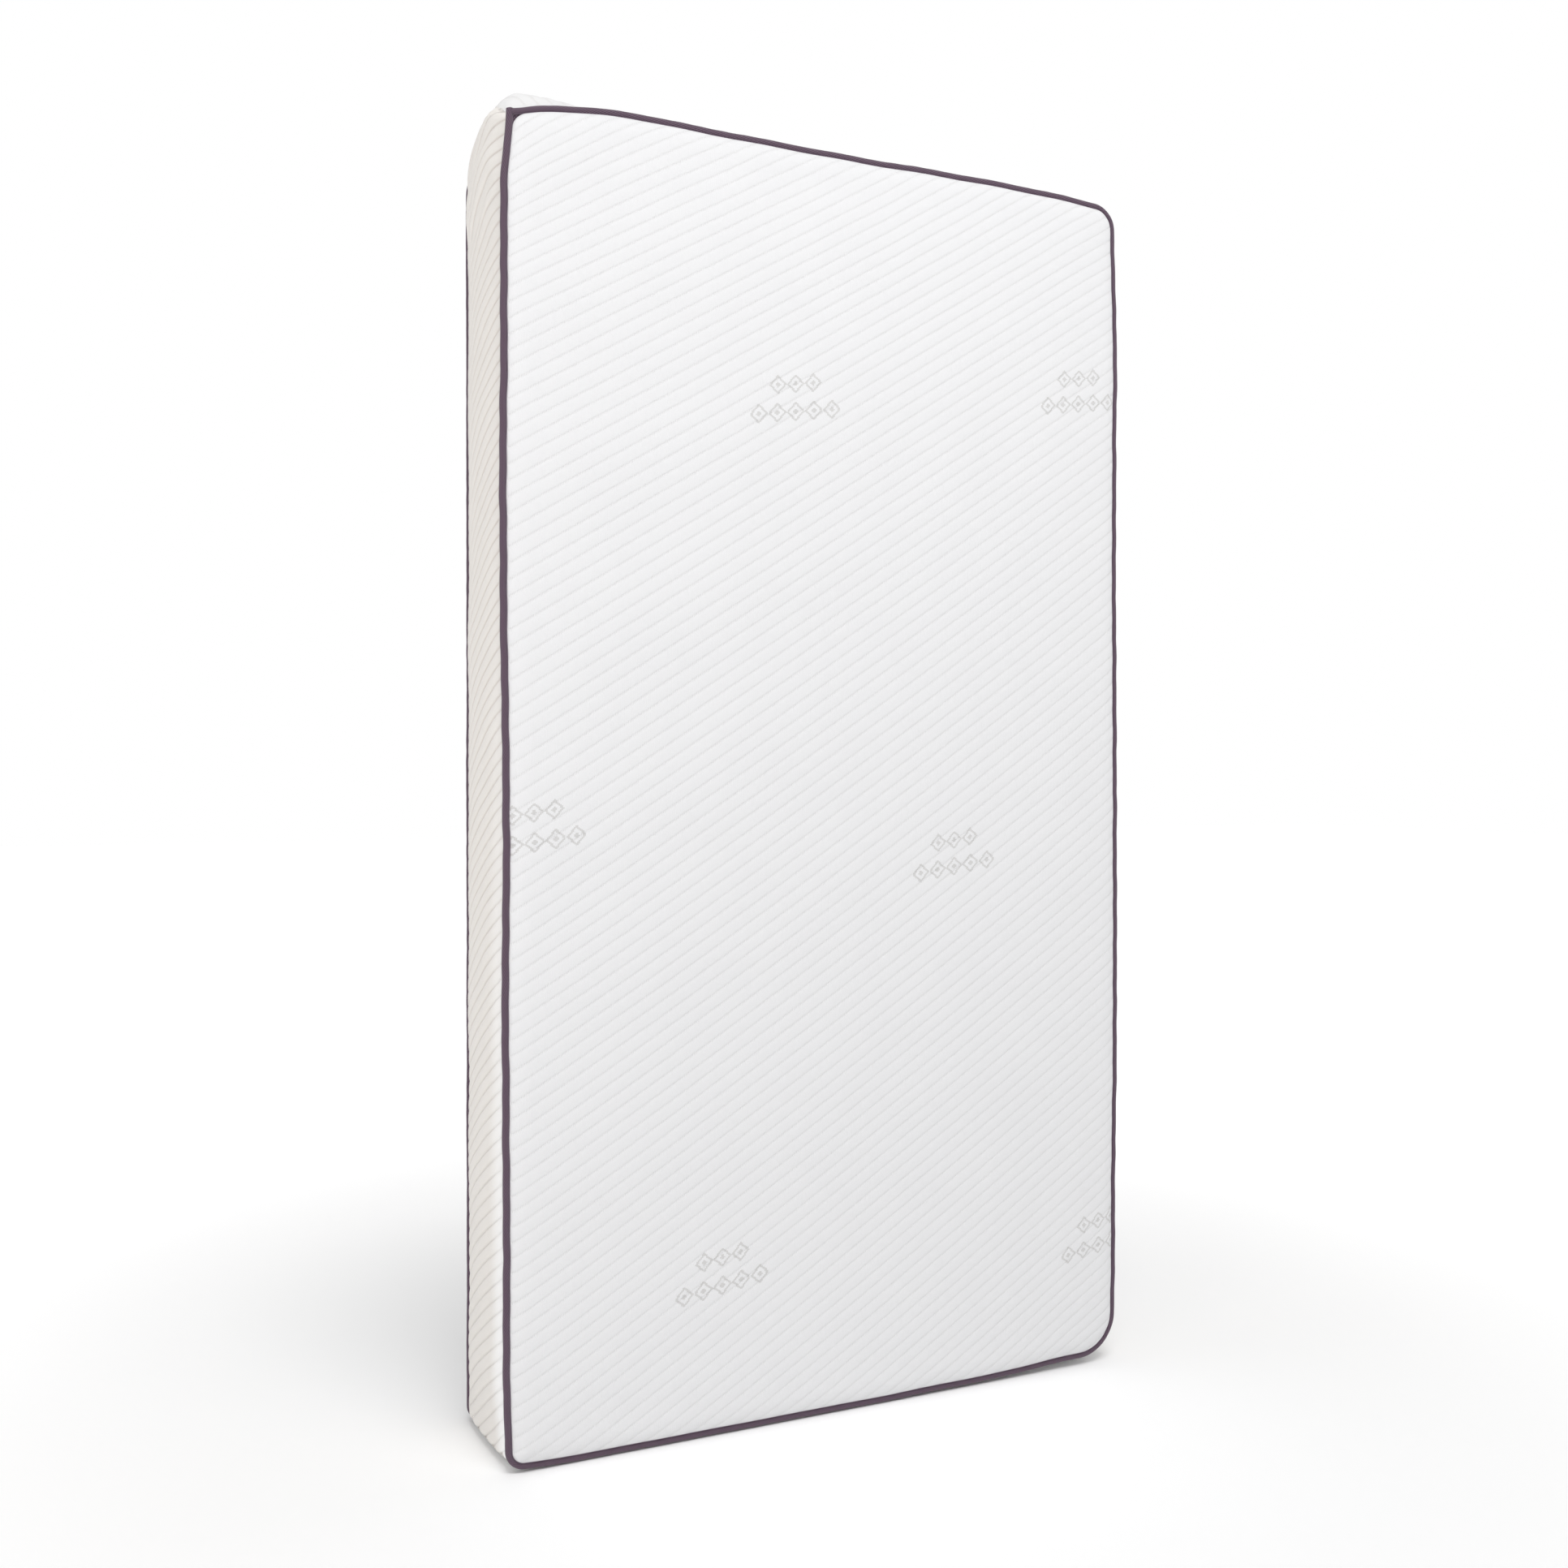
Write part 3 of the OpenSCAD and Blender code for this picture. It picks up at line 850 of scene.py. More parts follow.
def knit_material(name, base, shade, dash, shine, groove, motif=False, painted_seam_highlight=False):
    """Ribbed jacquard knit: wales, dotted grooves between ribs, fine mottling, woven motif.

    dash and shine are the strengths of a groove's dark and bright dots, painted shade and highlights
    of its dimples, and groove of the painted shade along it.
    The seam flag adds a painted highlight band beside the front seam.
    """
    g = Graph(name, roughness=0.85, specular=0.2, sheen=0.15)
    u, v, phase = g.stored("knit")
    flat = g.join(u, v)
    column = g.snapped(u, WALE)
    stepped = phase + (u - column) * (RIB_SLOPE / RIB_PITCH)
    from_groove = g.apart(stepped, 1.0) * RIB_PITCH
    in_wale = g.apart(u - WALE / 2, WALE)
    # Dotted rows along each groove: the dark dots are painted shade in the knit's dimples, and the
    # shiny dots beside them are painted highlights.
    row = g.ramp(from_groove, 1.25 * MM, 0.95 * MM)
    dotted = row * g.ramp(in_wale, 0.27, 0.19)
    shiny = row * g.ramp(in_wale, 0.3, 0.38)
    # Painted shade along each groove, a soft darker line a little wider than the groove itself.
    line = g.ramp(g.apart(phase, 1.0) * RIB_PITCH, 2.4 * MM, 0.3 * MM)
    grain = g.noise(g.join(u, v * 0.6), 1.4 * MM, 3.0, 0.65)
    patch = g.noise(flat, 70 * MM, 2.0)
    lightness = (grain - 0.5) * 0.5 + ((patch - 0.5) * 0.25 + 0.35)
    colour = g.blend(lightness, base, shade)
    colour = g.blend(dotted * dash, colour, rgb(176, 176, 176))
    across, _, height = g.split(g.place())
    # The painted groove shade is fainter at the foot and at the very top.
    groove_shade_by_height = g.ramp(height, 0.1, 0.8) * 0.7 + 0.3
    groove_shade_by_height = groove_shade_by_height * (g.ramp(height, 1.315, 1.29) * 0.65 + 0.35)
    colour = g.blend(line * groove * groove_shade_by_height, colour, rgb(206, 190, 182))
    colour = g.blend(shiny * shine, colour, rgb(250, 250, 250))
    # Painted highlight: the left border is painted near white in a band beside its front seam,
    # strongest low down, where the front light grazes its front edge.
    if painted_seam_highlight:
        band = g.ramp(u, 34 * MM - BORDER_HALF, 8 * MM - BORDER_HALF) * g.ramp(height, 0.95, 0.05)
        band = band * g.ramp(across, 0.02 - HALF_W, 0.01 - HALF_W)
        colour = g.blend(band * 0.95, colour, rgb(251, 251, 251))
    if motif:
        colour = g.blend(motif_mask(g) * 0.82, colour, rgb(200, 199, 198))
    g.colour(colour)
    wales = g.wave(u, WALE)
    courses = g.noise(g.join(u * 1.2, v), 0.9 * MM, 1.0)
    relief_map = wales * 0.3 + courses * 0.5
    g.bump(relief_map - dotted * 0.9, 0.22 * MM)
    return g.material


def motif_mask(g):
    """Two rows of touching lozenges, drawn one wale wide on the knit's own grid."""
    across, up, near = g.stored("motif")
    x, y = g.snapped(across, WALE), g.snapped(up, 1.2 * MM)
    total = None
    for middle, half_span, half in MOTIF_ROWS:
        part = g.apart(x + (half_span - half), 2 * half) * 2.0
        distance = part + abs(y - middle) * (1 / half)
        outline = g.ramp(abs(distance - 0.86), 0.15, 0.13)
        heart = g.ramp(distance, 0.32, 0.3)
        row = g.math("MAXIMUM", outline, heart) * g.ramp(abs(x), half_span + 1e-4, half_span)
        total = row if total is None else g.math("MAXIMUM", total, row)
    return total * g.ramp(near, 0.98, 0.99)


def twill_material():
    """Bias tape of the piping: lilac twill lines on plum."""
    g = Graph("piping twill", roughness=0.7, specular=0.25, sheen=0.2)
    s, w, _ = g.stored("weave")
    line = w - s * 0.5
    twill = g.wave(line, 1.8 * MM)
    yarn = g.wave(s + w * 0.9, 1.7 * MM)
    fluff = g.noise(g.place(), 2.2 * MM, 3.0, 0.6)
    raised = g.ramp(twill, 0.3, 0.8) * (yarn * 0.8 + 0.2)
    shade = g.blend(fluff, rgb(60, 44, 58), rgb(76, 60, 74))
    g.colour(g.blend(raised * 0.9, shade, rgb(138, 116, 134)))
    g.bump(raised * 0.8 + fluff * 0.2, 0.25 * MM)
    return g.material


def twisted_material(name, light, dark, period, turn):
    """Twisted yarn or cord."""
    g = Graph(name, roughness=0.75, specular=0.25)
    s, w, _ = g.stored("weave")
    strand = g.wave(s + w * turn, period)
    fibre = g.noise(g.join(s * 0.3, w), period / 3, 2.0)
    share = strand * 0.6 + fibre * 0.4
    g.colour(g.blend(share, dark, light))
    g.bump(share, period / 5)
    return g.material


def tape_material():
    """Woven zip tape: herringbone in narrow bands."""
    g = Graph("woven zip tape", roughness=0.8, specular=0.25)
    s, w, _ = g.stored("weave")
    band = g.apart(w, 4 * MM)
    lean = g.wave(s + band * (4 * MM), 0.9 * MM)
    fibre = g.noise(g.join(s, w), 0.8 * MM, 3.0, 0.6)
    g.colour(g.blend(lean * 0.6 + fibre * 0.4, rgb(214, 212, 208), rgb(240, 239, 236)))
    g.bump(lean, 0.12 * MM)
    return g.material


def nylon_material():
    """Zip coil of clear white nylon."""
    g = Graph("zip coil nylon", roughness=0.35, specular=0.5)
    haze = g.noise(g.place(), 6 * MM, 2.0)
    g.colour(g.blend(haze, rgb(226, 225, 222), rgb(243, 243, 241)))
    g.bump(g.noise(g.place(), 0.5 * MM, 2.0), 0.03 * MM)
    return g.material


def metal_material():
    """Plated zip metal, brushed, a little duller in worn patches."""
    g = Graph("plated zip metal", roughness=0.32, metallic=1.0, specular=0.5)
    x, y, z = g.split(g.place())
    brushed = g.noise(g.join(x * 4.0, y * 4.0, z * 0.35), 0.5 * MM, 3.0, 0.6)
    worn = g.noise(g.place(), 5 * MM, 3.0, 0.6)
    g.colour(g.blend(worn, rgb(176, 176, 178), rgb(214, 214, 216)))
    g.put(g.shader.inputs["Roughness"], 0.22 + (brushed + worn) * 0.14)
    g.bump(brushed, 0.02 * MM)
    return g.material


def foam_material(name, light, dark, cell):
    """Open-cell foam, with the faint waves a foam saw leaves."""
    g = Graph(name, roughness=0.95, specular=0.1)
    x, y, z = g.split(g.place())
    pores = g.cells(g.place(), cell)
    fine = g.noise(g.place(), cell * 0.6, 3.0, 0.7)
    saw = g.noise(g.join(x * 0.05, y, z), 9 * MM, 1.0)
    # The pores are painted darker, as painted shade in the foam's open cells.
    g.colour(g.blend(g.ramp(pores, 0.55, 0.1) * 0.55 + saw * 0.3, light, dark))
    g.bump(pores * 0.7 + fine * 0.3, cell * 0.5)
    return g.material


def sleeve_material():
    """Thin plain-knit sleeve."""
    g = Graph("sleeve knit", roughness=0.85, specular=0.2, sheen=0.2)
    x, y, z = g.split(g.place())
    wales = g.wave(x + y, 1.1 * MM)
    courses = g.wave(z + wales * (0.35 * MM), 0.9 * MM)
    uneven = g.noise(g.place(), 30 * MM, 3.0)
    loops = wales * courses
    g.colour(g.blend(loops * 0.6 + uneven * 0.4, rgb(218, 222, 226), rgb(242, 244, 246)))
    g.bump(loops, 0.2 * MM)
    return g.material


def label_material():
    """Blank satin-woven label with fused edges."""
    g = Graph("label satin", roughness=0.5, specular=0.4, sheen=0.1)
    s, w, rim = g.stored("weave")
    satin = g.wave(s + w * 0.25, 0.45 * MM)
    float_yarn = g.noise(g.join(s * 3.0, w * 0.4), 0.8 * MM, 2.0)
    tone = satin * 0.5 + float_yarn * 0.5
    g.colour(g.blend(g.ramp(rim, 0.9 * MM, 0.2 * MM) * 0.8,
                     g.blend(tone, rgb(230, 230, 228), rgb(247, 247, 246)), rgb(205, 204, 200)))
    g.bump(tone, 0.05 * MM)
    return g.material


# The cover is one white knit: the border's cream tint is painted warm side light, and the paler, more
# neutral ends are painted light from above.
COVER_FACE = knit_material("ribbed knit face", rgb(231, 231, 232), rgb(221, 221, 223),
                           dash=0.1, shine=0.42, groove=0.03, motif=True)
COVER_BORDER_PAINTED_WARM = knit_material("ribbed knit border, painted warm light", rgb(234, 231, 227), rgb(228, 223, 217),
                             dash=0.12, shine=0.29, groove=0.4, painted_seam_highlight=True)
COVER_ENDS_PAINTED_PALE = knit_material("ribbed knit ends, painted top light", rgb(232, 232, 232), rgb(226, 226, 226),
                           dash=0.08, shine=0.19, groove=0.18)
TWILL = twill_material()
CORD_YARN = twisted_material("filler cord", rgb(236, 232, 220), rgb(190, 184, 168), 3 * MM, 1.0)
PLUM_THREAD = twisted_material("seam thread", rgb(150, 134, 150), rgb(96, 80, 96), 0.9 * MM, 1.4)
WHITE_THREAD = twisted_material("white thread", rgb(248, 247, 244), rgb(206, 204, 199), 0.9 * MM, 1.4)
ZIP_TAPE = tape_material()
NYLON = nylon_material()
METAL = metal_material()
MEMORY_FOAM = foam_material("memory foam", rgb(244, 236, 206), rgb(214, 202, 164), 1.1 * MM)
SUPPORT_FOAM = foam_material("support foam", rgb(240, 240, 232), rgb(206, 206, 194), 1.9 * MM)
SLEEVE_KNIT = sleeve_material()
LABEL_SATIN = label_material()


# ---------------------------------------------------------------- face panels
def rib_lines(at, low, high, first, last, step):
    """Guide lines of the ribs over low..high. at gives the other coordinate for a phase."""
    along = np.linspace(low, high, max(2, math.ceil((high - low) / step) + 1))
    lines = []
    for k in range(first, last + 1):
        for share in RIB_LINES:
            lines.append((along, at(along, k + share)))
    return lines


def kept(points, inside):
    """The stretches of a line that lie inside."""
    ends = np.flatnonzero(np.diff(np.concatenate([[0], inside.astype(int), [0]])))
    return [points[a:b] for a, b in zip(ends[::2], ends[1::2]) if b - a > 1]


def motif_place(flat, turned):
    """For each point, where it lies on the nearest motif, and 1 if it is close to it."""
    best = np.full(len(flat), 9.0)
    out = np.zeros((len(flat), 3))
    for x, z in MOTIFS:
        across = (flat[:, 0] - x * MM) * (-1 if turned else 1)
        up = flat[:, 1] - z * MM - MOTIF_SKEW * across
        distance = np.maximum(np.abs(across) / MOTIF_REACH[0], np.abs(up) / MOTIF_REACH[1])
        m = distance < best
        best[m] = distance[m]
        out[m] = np.stack([across, up, distance < 1], -1)[m]
    return out


def face_panel(name, side, radii, move):
    """One face of the cover, with its ribs turned the other way at the back."""
    rim = Track(radii, PANEL_IN)
    loop = rim.at(rim.steps(5 * MM))[0]
    turned = side > 0
    rings, ribs = [], []
    for deeper in (0.3, 1.0, 2.2, 4.0, 6.5, 10.0, 14.0, 20.0):
        track = Track(radii, PANEL_IN + deeper * MM)
        ring = track.at(track.steps(9 * MM))[0]
        rings.append(np.concatenate([ring, ring[:1]]))
    edge = HALF_W - PANEL_IN + 3 * MM
    corners = np.array([(x, z) for x in (-edge, edge) for z in (0, LENGTH)])
    phases = face_phase(corners[:, 0], corners[:, 1])
    first, last = math.floor(phases.min()), math.ceil(phases.max())
    for x, z in rib_lines(face_line, -edge, edge, first, last, 12 * MM):
        ribs += kept(np.stack([x, z], -1), inside_by(x, z, radii, PANEL_IN) > -4 * MM)
    if turned:
        ribs = [line * (-1, 1) for line in ribs]

    def height(flat):
        rim_d = np.maximum(inside_by(flat[:, 0], flat[:, 1], radii, PANEL_IN), 0)
        fade = smooth(rim_d / (1.5 * MM))
        return relief(phase_of(flat), FACE_RIB, rim_d) * fade

    def phase_of(flat):
        return face_phase(-flat[:, 0] if turned else flat[:, 0], flat[:, 1])

    def under(flat):
        return spatial(flat, side * PANEL_BASE)

    def knit(flat):
        return np.stack([flat[:, 0], flat[:, 1], phase_of(flat)], -1)

    form = face_form(side, radii, move)
    piece, flat = quilted(name, loop, rings + ribs, form, height, under, [], knit)
    mark(piece, "motif", motif_place(flat, turned))
    finished(piece, name, COVER_FACE)
    return piece


face_panel("front_panel", -1, PANEL_R, FRONT_MOVE)
face_panel("back_panel", 1, REAR_R, BACK_MOVE)


# ---------------------------------------------------------------- border strips
def border_strip(node, start, end, low, high):
    """A strip from start to end round the outline. low and high give its edges across it."""
    s0, s1 = start + SEAM_GAP, end - SEAM_GAP
    steps = list(FRONT.steps(6 * MM, s0, s1)) + [s1]
    if start == AT_ZIP:
        ends = [s for s in np.arange(s0, s1, MM) if near_slot_end(s)]
        steps = sorted(steps + ends)
        steps = [a for a, b in zip(steps, steps[1:]) if b - a > 0.2 * MM] + [s1]
    s = np.array(steps)
    across = np.linspace(0, 1, 24)[1:-1]
    right, left = (
        np.stack([np.full(len(across), a[0]), low(a) + across * (high(a) - low(a))], -1)
        for a in (s[-1:], np.array([s0]))
    )
    bottom, top = np.stack([s, low(s)], -1), np.stack([s, high(s)], -1)
    loop = np.concatenate([bottom, right, top[::-1], left[::-1]])

    def column(at, margin, count):
        """A line across the strip, ending a margin inside its edges."""
        a, b = low(np.array([at]))[0], high(np.array([at]))[0]
        return np.stack([np.full(count, at), np.linspace(a + margin, b - margin, count)], -1)

    lines = []
    for d in (0.6, 1.6, 3.2, 5.5, 9.0):
        inner = s[(s > s0 + 0.5 * MM) & (s < s1 - 0.5 * MM)]
        lines.append(np.stack([inner, low(inner) + d * MM], -1))
        lines.append(np.stack([inner, high(inner) - d * MM], -1))
    for d in (0.8, 2.0, 4.0, 7.0, 11.0):
        lines += [column(at, 0.4 * MM, 20) for at in (s0 + d * MM, s1 - d * MM)]
    y_low, y_high = float(low(s).min()), float(high(s).max())
    first = math.floor((s0 - 60 * MM) / RIB_PITCH)
    last = math.ceil((s1 + 60 * MM) / RIB_PITCH)
    for y, at in rib_lines(border_line, y_low - MM, y_high + MM, first, last, 7 * MM):
        inside = (at > s0 - 3 * MM) & (at < s1 + 3 * MM)
        if start == AT_ZIP:
            inside &= (y > low(at) - 2 * MM) & (y < high(at) + 2 * MM)
        lines += kept(np.stack([at, y], -1), inside)

    at_end = node in ("border_head", "border_foot")
    # The head and foot strips take the copy of the knit painted for light from above, and the long
    # sides the copy painted for warm side light.
    rib, material = (END_RIB, COVER_ENDS_PAINTED_PALE) if at_end else (BORDER_RIB, COVER_BORDER_PAINTED_WARM)

    def rim_d(flat):
        a, y = flat[:, 0], flat[:, 1]
        sides = np.minimum(y - low(a), high(a) - y)
        return np.maximum(np.minimum(sides, np.minimum(a - s0, s1 - a)), 0)

    def height(flat):
        d = rim_d(flat)
        depth = rib * smooth((d + 1 * MM) / (3 * MM))
        by_rear = smooth((BORDER_HALF - flat[:, 1] - 4 * MM) / (30 * MM))
        depth = depth * np.where(on_strip(flat[:, 0]), 1, 0.3 + 0.7 * by_rear)
        shown = relief(border_phase(flat[:, 0], flat[:, 1]), depth, d)
        y = np.abs(flat[:, 1])
        row = bell((y - STITCH_ROW) / (0.8 * MM)) * on_strip(flat[:, 0])
        return shown * (1 - 0.8 * row) - 0.9 * MM * row

    def under(flat):
        a, y = flat[:, 0], flat[:, 1]
        p, n = around(a, y)
        thick = np.full(len(flat), COVER_TH)
        if start == AT_ZIP:
            hem = 1 - smooth((np.abs(y) - slot_edge(a) - HEM_W + 2 * MM) / (2 * MM))
            thick += (HEM_TH - COVER_TH) * hem * (slot_edge(a) > 5 * MM)
        return spatial(p + n * (border_out(a, y, p) - thick)[:, None], y)

    under_lines = [column(at, 0.5 * MM, 8) for at in FRONT.steps(30 * MM, s0, s1)[1:]]

    def knit(flat):
        return np.stack([flat[:, 1], flat[:, 0], border_phase(flat[:, 0], flat[:, 1])], -1)

    folded = HEM_TH if start == AT_ZIP else 0.0
    piece, _ = quilted(node, loop, lines, border_form, height, under, under_lines, knit, folded)
    finished(piece, node, material)
    width = float((high(s) - low(s)).max())
    return piece


def near_slot_end(s):
    z = around(np.array([s]), np.array([0.0]))[0][0, 1]
    return min(abs(z - SLOT_FOOT), abs(z - SLOT_HEAD)) < 9 * MM


def rear_edge(s):
    return np.full(len(s), BORDER_HALF)


def front_edge(s):
    return -rear_edge(s)


border_strip("border_foot", AT_FOOT, AT_ZIP, front_edge, rear_edge)
border_strip("border_head", AT_HEAD, AT_LEFT, front_edge, rear_edge)
border_strip("border_left", AT_LEFT, AT_END, front_edge, rear_edge)
border_strip("border_zip_front", AT_ZIP, AT_HEAD, front_edge, lambda s: -slot_edge(s))
border_strip("border_zip_back", AT_ZIP, AT_HEAD, slot_edge, rear_edge)


# ---------------------------------------------------------------- piping
def piping(name, side, radii):
    """A bias tape round its cord. side is -1 for the front seam.

    The front one has its ends crossed at the head-left corner, one running up over the other.
    """
    track = Track(radii, PIPING_IN)
    if side < 0:
        half_arc = math.pi / 4 * max(radii[-1, 1] - PIPING_IN, LEAST_R)
        arc, arc_end = track.marks[3] - half_arc, track.marks[3] + half_arc
        s = np.concatenate([
            track.steps(2.2 * MM, arc_end, track.length),
            track.length + track.steps(2.2 * MM, 0, arc),
            [track.length + arc],
        ])
        p, n = track.at(s)
        up_end = np.array([[p[0, 0], LENGTH - 0.4 * MM], [p[0, 0], LENGTH - 2.2 * MM]])
        side_end = np.array([[-HALF_W + PIPING_IN + 1.6 * MM, p[-1, 1]]])
        p = np.concatenate([up_end, p, side_end])
        n = np.concatenate([n[:1], n[:1], n, n[-1:]])
        s = np.concatenate([[s[0] - 8 * MM, s[0] - 6 * MM], s, [s[-1] + 4 * MM]])
    else:
        s = track.steps(2.2 * MM)
        p, n = track.at(s)
    closed = side > 0
    count = len(s)
    centres, outward = spatial(p, side * PIPING_Y), spatial(n)
    up = np.broadcast_to(np.array([0.0, side, 0.0]), outward.shape)
    low, high = math.asin(0.8 * MM / PIPING_R), math.asin(0.2 * MM / PIPING_R)
    angle = np.linspace(-math.pi + low, math.pi - high, 19)
    phase = face_phase(p[:, 0], p[:, 1])
    gather = bell((phase - np.round(phase)) * RIB_PITCH / (1.7 * MM))
    panel_side = smooth(-np.cos(angle) * 1.5)
    size = 1 - 0.05 * gather[:, None] * (0.4 + panel_side[None, :])
    size = size + 0.03 * ripple(s[:, None], angle[None, :] * 4 * MM, 51 + side, 0.02)
    radius = PIPING_R * np.minimum(size, 1.06)
    section = np.stack([radius * np.cos(angle), radius * np.sin(angle)], -1)
    flange = np.broadcast_to(np.array([(-FLANGE_W, 0.2 * MM), (-FLANGE_W, -0.8 * MM)]), (count, 2, 2))
    section = np.concatenate([section, flange], 1)
    around_w = np.concatenate([angle * PIPING_R, [12 * MM, -12 * MM]])
    outer = swept(centres, outward, up, section, closed)
    hollow = swept(centres, outward, up, ring_section(CORD_R + 0.1 * MM, HOLLOW_SIDES), closed)
    hollow_faces = hollow[1] if closed else [f for f in hollow[1] if len(f) == 4]
    if not closed:
        outer = (outer[0], [f for f in outer[1] if len(f) == 4])
        for at, flip in ((0, 1), (count - 1, -1)):
            outer[1].extend(end_cap(at, section.shape[1], count, flip))
    points, faces = merged([outer, (hollow[0], hollow_faces)])
    piece = shaped(name, points, faces, 60, hollow_from=len(outer[1]) if closed else None)
    weave = weave_of(s, around_w)
    mark(piece, "weave", np.concatenate([weave, np.zeros((len(hollow[0]), 3))]))
    finished(piece, name, TWILL)

    filler_s = s[::2]
    twist = filler_s / (16 * MM) * math.tau
    turn = math.tau * np.arange(12) / 12
    lobes = CORD_R * (0.93 + 0.07 * np.cos(3 * (turn[None, :] + twist[:, None])))
    filler = np.stack([lobes * np.cos(turn), lobes * np.sin(turn)], -1)
    points, faces = swept(centres[::2], outward[::2], up[::2], filler, closed)
    cord = shaped(CORD_OF[name], points, faces, 60)
    mark(cord, "weave", weave_of(filler_s, turn * CORD_R))
    finished(cord, CORD_OF[name], CORD_YARN)


def end_cap(at, outer_count, rings, flip):
    """Closes the tape's cut end between its outside and its hollow."""
    faces = []
    a = [at * outer_count + i for i in range(outer_count)]
    b = [rings * outer_count + at * HOLLOW_SIDES + i for i in range(HOLLOW_SIDES)]
    for i in range(outer_count):
        j = (i + 1) % outer_count
        m, n = hollow_for(i, outer_count), hollow_for(j, outer_count)
        face = [a[i], a[j], b[n], b[m]] if m != n else [a[i], a[j], b[m]]
        faces.append(face[::flip])
    return faces


def hollow_for(i, outer_count):
    """The hollow's corner that faces corner i of the outside, which starts at the flange."""
    passed = min(round(i * HOLLOW_SIDES / (outer_count - 2)), HOLLOW_SIDES)
    return (HOLLOW_SIDES // 2 + passed) % HOLLOW_SIDES


piping("front_piping_tape", -1, FRONT_R)
piping("rear_piping_tape", 1, REAR_R)


# ---------------------------------------------------------------- sewing thread
def thread(centres, up, radius, stitch, dip, closed=False):
    """Thread of running stitches along a line: each stitch arches up and dives at its ends."""
    ahead = np.roll(centres, -1, 0) - np.roll(centres, 1, 0)
    if not closed:
        ahead[0], ahead[-1] = centres[1] - centres[0], centres[-1] - centres[-2]
    ahead /= np.linalg.norm(ahead, axis=1, keepdims=True)
    side = np.cross(ahead, up)
    side /= np.linalg.norm(side, axis=1, keepdims=True)
    gone = np.concatenate([[0], np.cumsum(np.linalg.norm(np.diff(centres, axis=0), axis=1))])
    share = np.mod(gone / stitch, 1)
    height = -dip * np.abs(2 * share - 1) ** 6
    points, faces = swept(centres + up * height[:, None], side, up, ring_section(radius, 6), closed)
    turn = np.arange(6) / 6 * math.tau * radius
    return points, faces, weave_of(gone, turn)


def seam_thread(name, side, radii):
    """The stitches of the seam between a face and its piping."""
    track = Track(radii, THREAD_IN)
    s = np.linspace(0, track.length, 6600, endpoint=False)
    p, n = track.at(s)
    centres = spatial(p, side * THREAD_Y)
    up = np.broadcast_to(np.array([0.0, side, 0.0]), centres.shape)
    stitch = track.length / SEAM_STITCHES
    points, faces, weave = thread(centres, up, THREAD_R, stitch, 0.9 * MM, True)
    piece = shaped(name, points, faces)
    mark(piece, "weave", weave)
    finished(piece, name, PLUM_THREAD)


def corner_threads():
    """Ladder stitches across the border at the four corners, drawn down into the seam."""
    parts, weaves = [], []
    for corner in FRONT.marks[:4]:
        y = np.linspace(-BORDER_HALF + 2 * MM, BORDER_HALF - 2 * MM, 420)
        sway = np.abs(np.mod(y / (4 * MM), 2) - 1) * 2 - 1
        s = corner + 1.1 * MM * np.clip(1.6 * sway, -1, 1)
        p, n = around(np.mod(s, AT_END), y)
        stand = border_out(np.mod(s, AT_END), y, p) - 0.1 * MM
        centres = spatial(p + n * stand[:, None], y)
        points, faces, weave = thread(centres, spatial(n), THREAD_R, 4 * MM, 0.5 * MM)
        points[:, 2] = np.maximum(points[:, 2], 0.1 * MM)
        parts.append((points, faces))
        weaves.append(weave)
    points, faces = merged(parts)
    piece = shaped("corner_seam_threads", points, faces)
    mark(piece, "weave", np.concatenate(weaves))
    finished(piece, "corner_seam_threads", WHITE_THREAD)


def zip_stitching(name, side):
    """A row of stitches that holds a hem and the zip's tape under it."""
    z = np.arange(STITCH_LOW.z, STITCH_HIGH.z, 0.55 * MM)
    depth = 0.45 * MM
    centres = np.stack([np.full(len(z), HALF_W - depth), np.full(len(z), side * STITCH_ROW), z], -1)
    up = np.broadcast_to(np.array([1.0, 0.0, 0.0]), centres.shape)
    points, faces, weave = thread(centres, up, THREAD_R * 0.9, 3.3 * MM, 1.2 * MM)
    piece = shaped(name, points, faces, bends=False)
    mark(piece, "weave", weave)
    finished(piece, name, WHITE_THREAD)


seam_thread("front_seam_thread", -1, FRONT_R)
seam_thread("rear_seam_thread", 1, REAR_R)
corner_threads()
zip_stitching("zip_stitching_front", -1)
zip_stitching("zip_stitching_back", 1)


# ---------------------------------------------------------------- zip
def zip_tape(name, side):
    """Woven tape with a rolled cord at the coil and a thin selvedge at its other edge."""
    z = np.arange(TAPE_LOW.z, TAPE_HIGH.z + MM, 5 * MM)
    y = np.linspace(TAPE_LOW.y, TAPE_HIGH.y, 15)
    middle, half = (TAPE_LOW.x + TAPE_HIGH.x) / 2, (TAPE_HIGH.x - TAPE_LOW.x) / 2
    rolled_cord = 0.4 * bell((y - TAPE_LOW.y - 1.2 * MM) / MM)
    selvedge = 0.25 * bell((y - TAPE_HIGH.y) / MM)
    thick = np.minimum(half * (0.6 + rolled_cord + selvedge), half)
    wave = 0.12 * MM * ripple(z[:, None], y[None, :], 61, 0.05)
    wave = np.clip(wave, -half * 0.35, half * 0.35) * (1 - bell((y - TAPE_LOW.y) / (3 * MM)))
    top = np.stack(np.broadcast_arrays(middle + thick + wave, y * side, z[:, None]), -1)
    low = np.stack(np.broadcast_arrays(middle - thick + wave, y * side, z[:, None]), -1)
    ring = np.concatenate([top, low[:, ::-1]], 1)
    piece = shaped(name, ring.reshape(-1, 3), grid_faces(len(z), 2 * len(y), False), 40, bends=False)
    mark(piece, "weave", weave_of(z, np.concatenate([y, y[::-1]])))
    finished(piece, name, ZIP_TAPE)


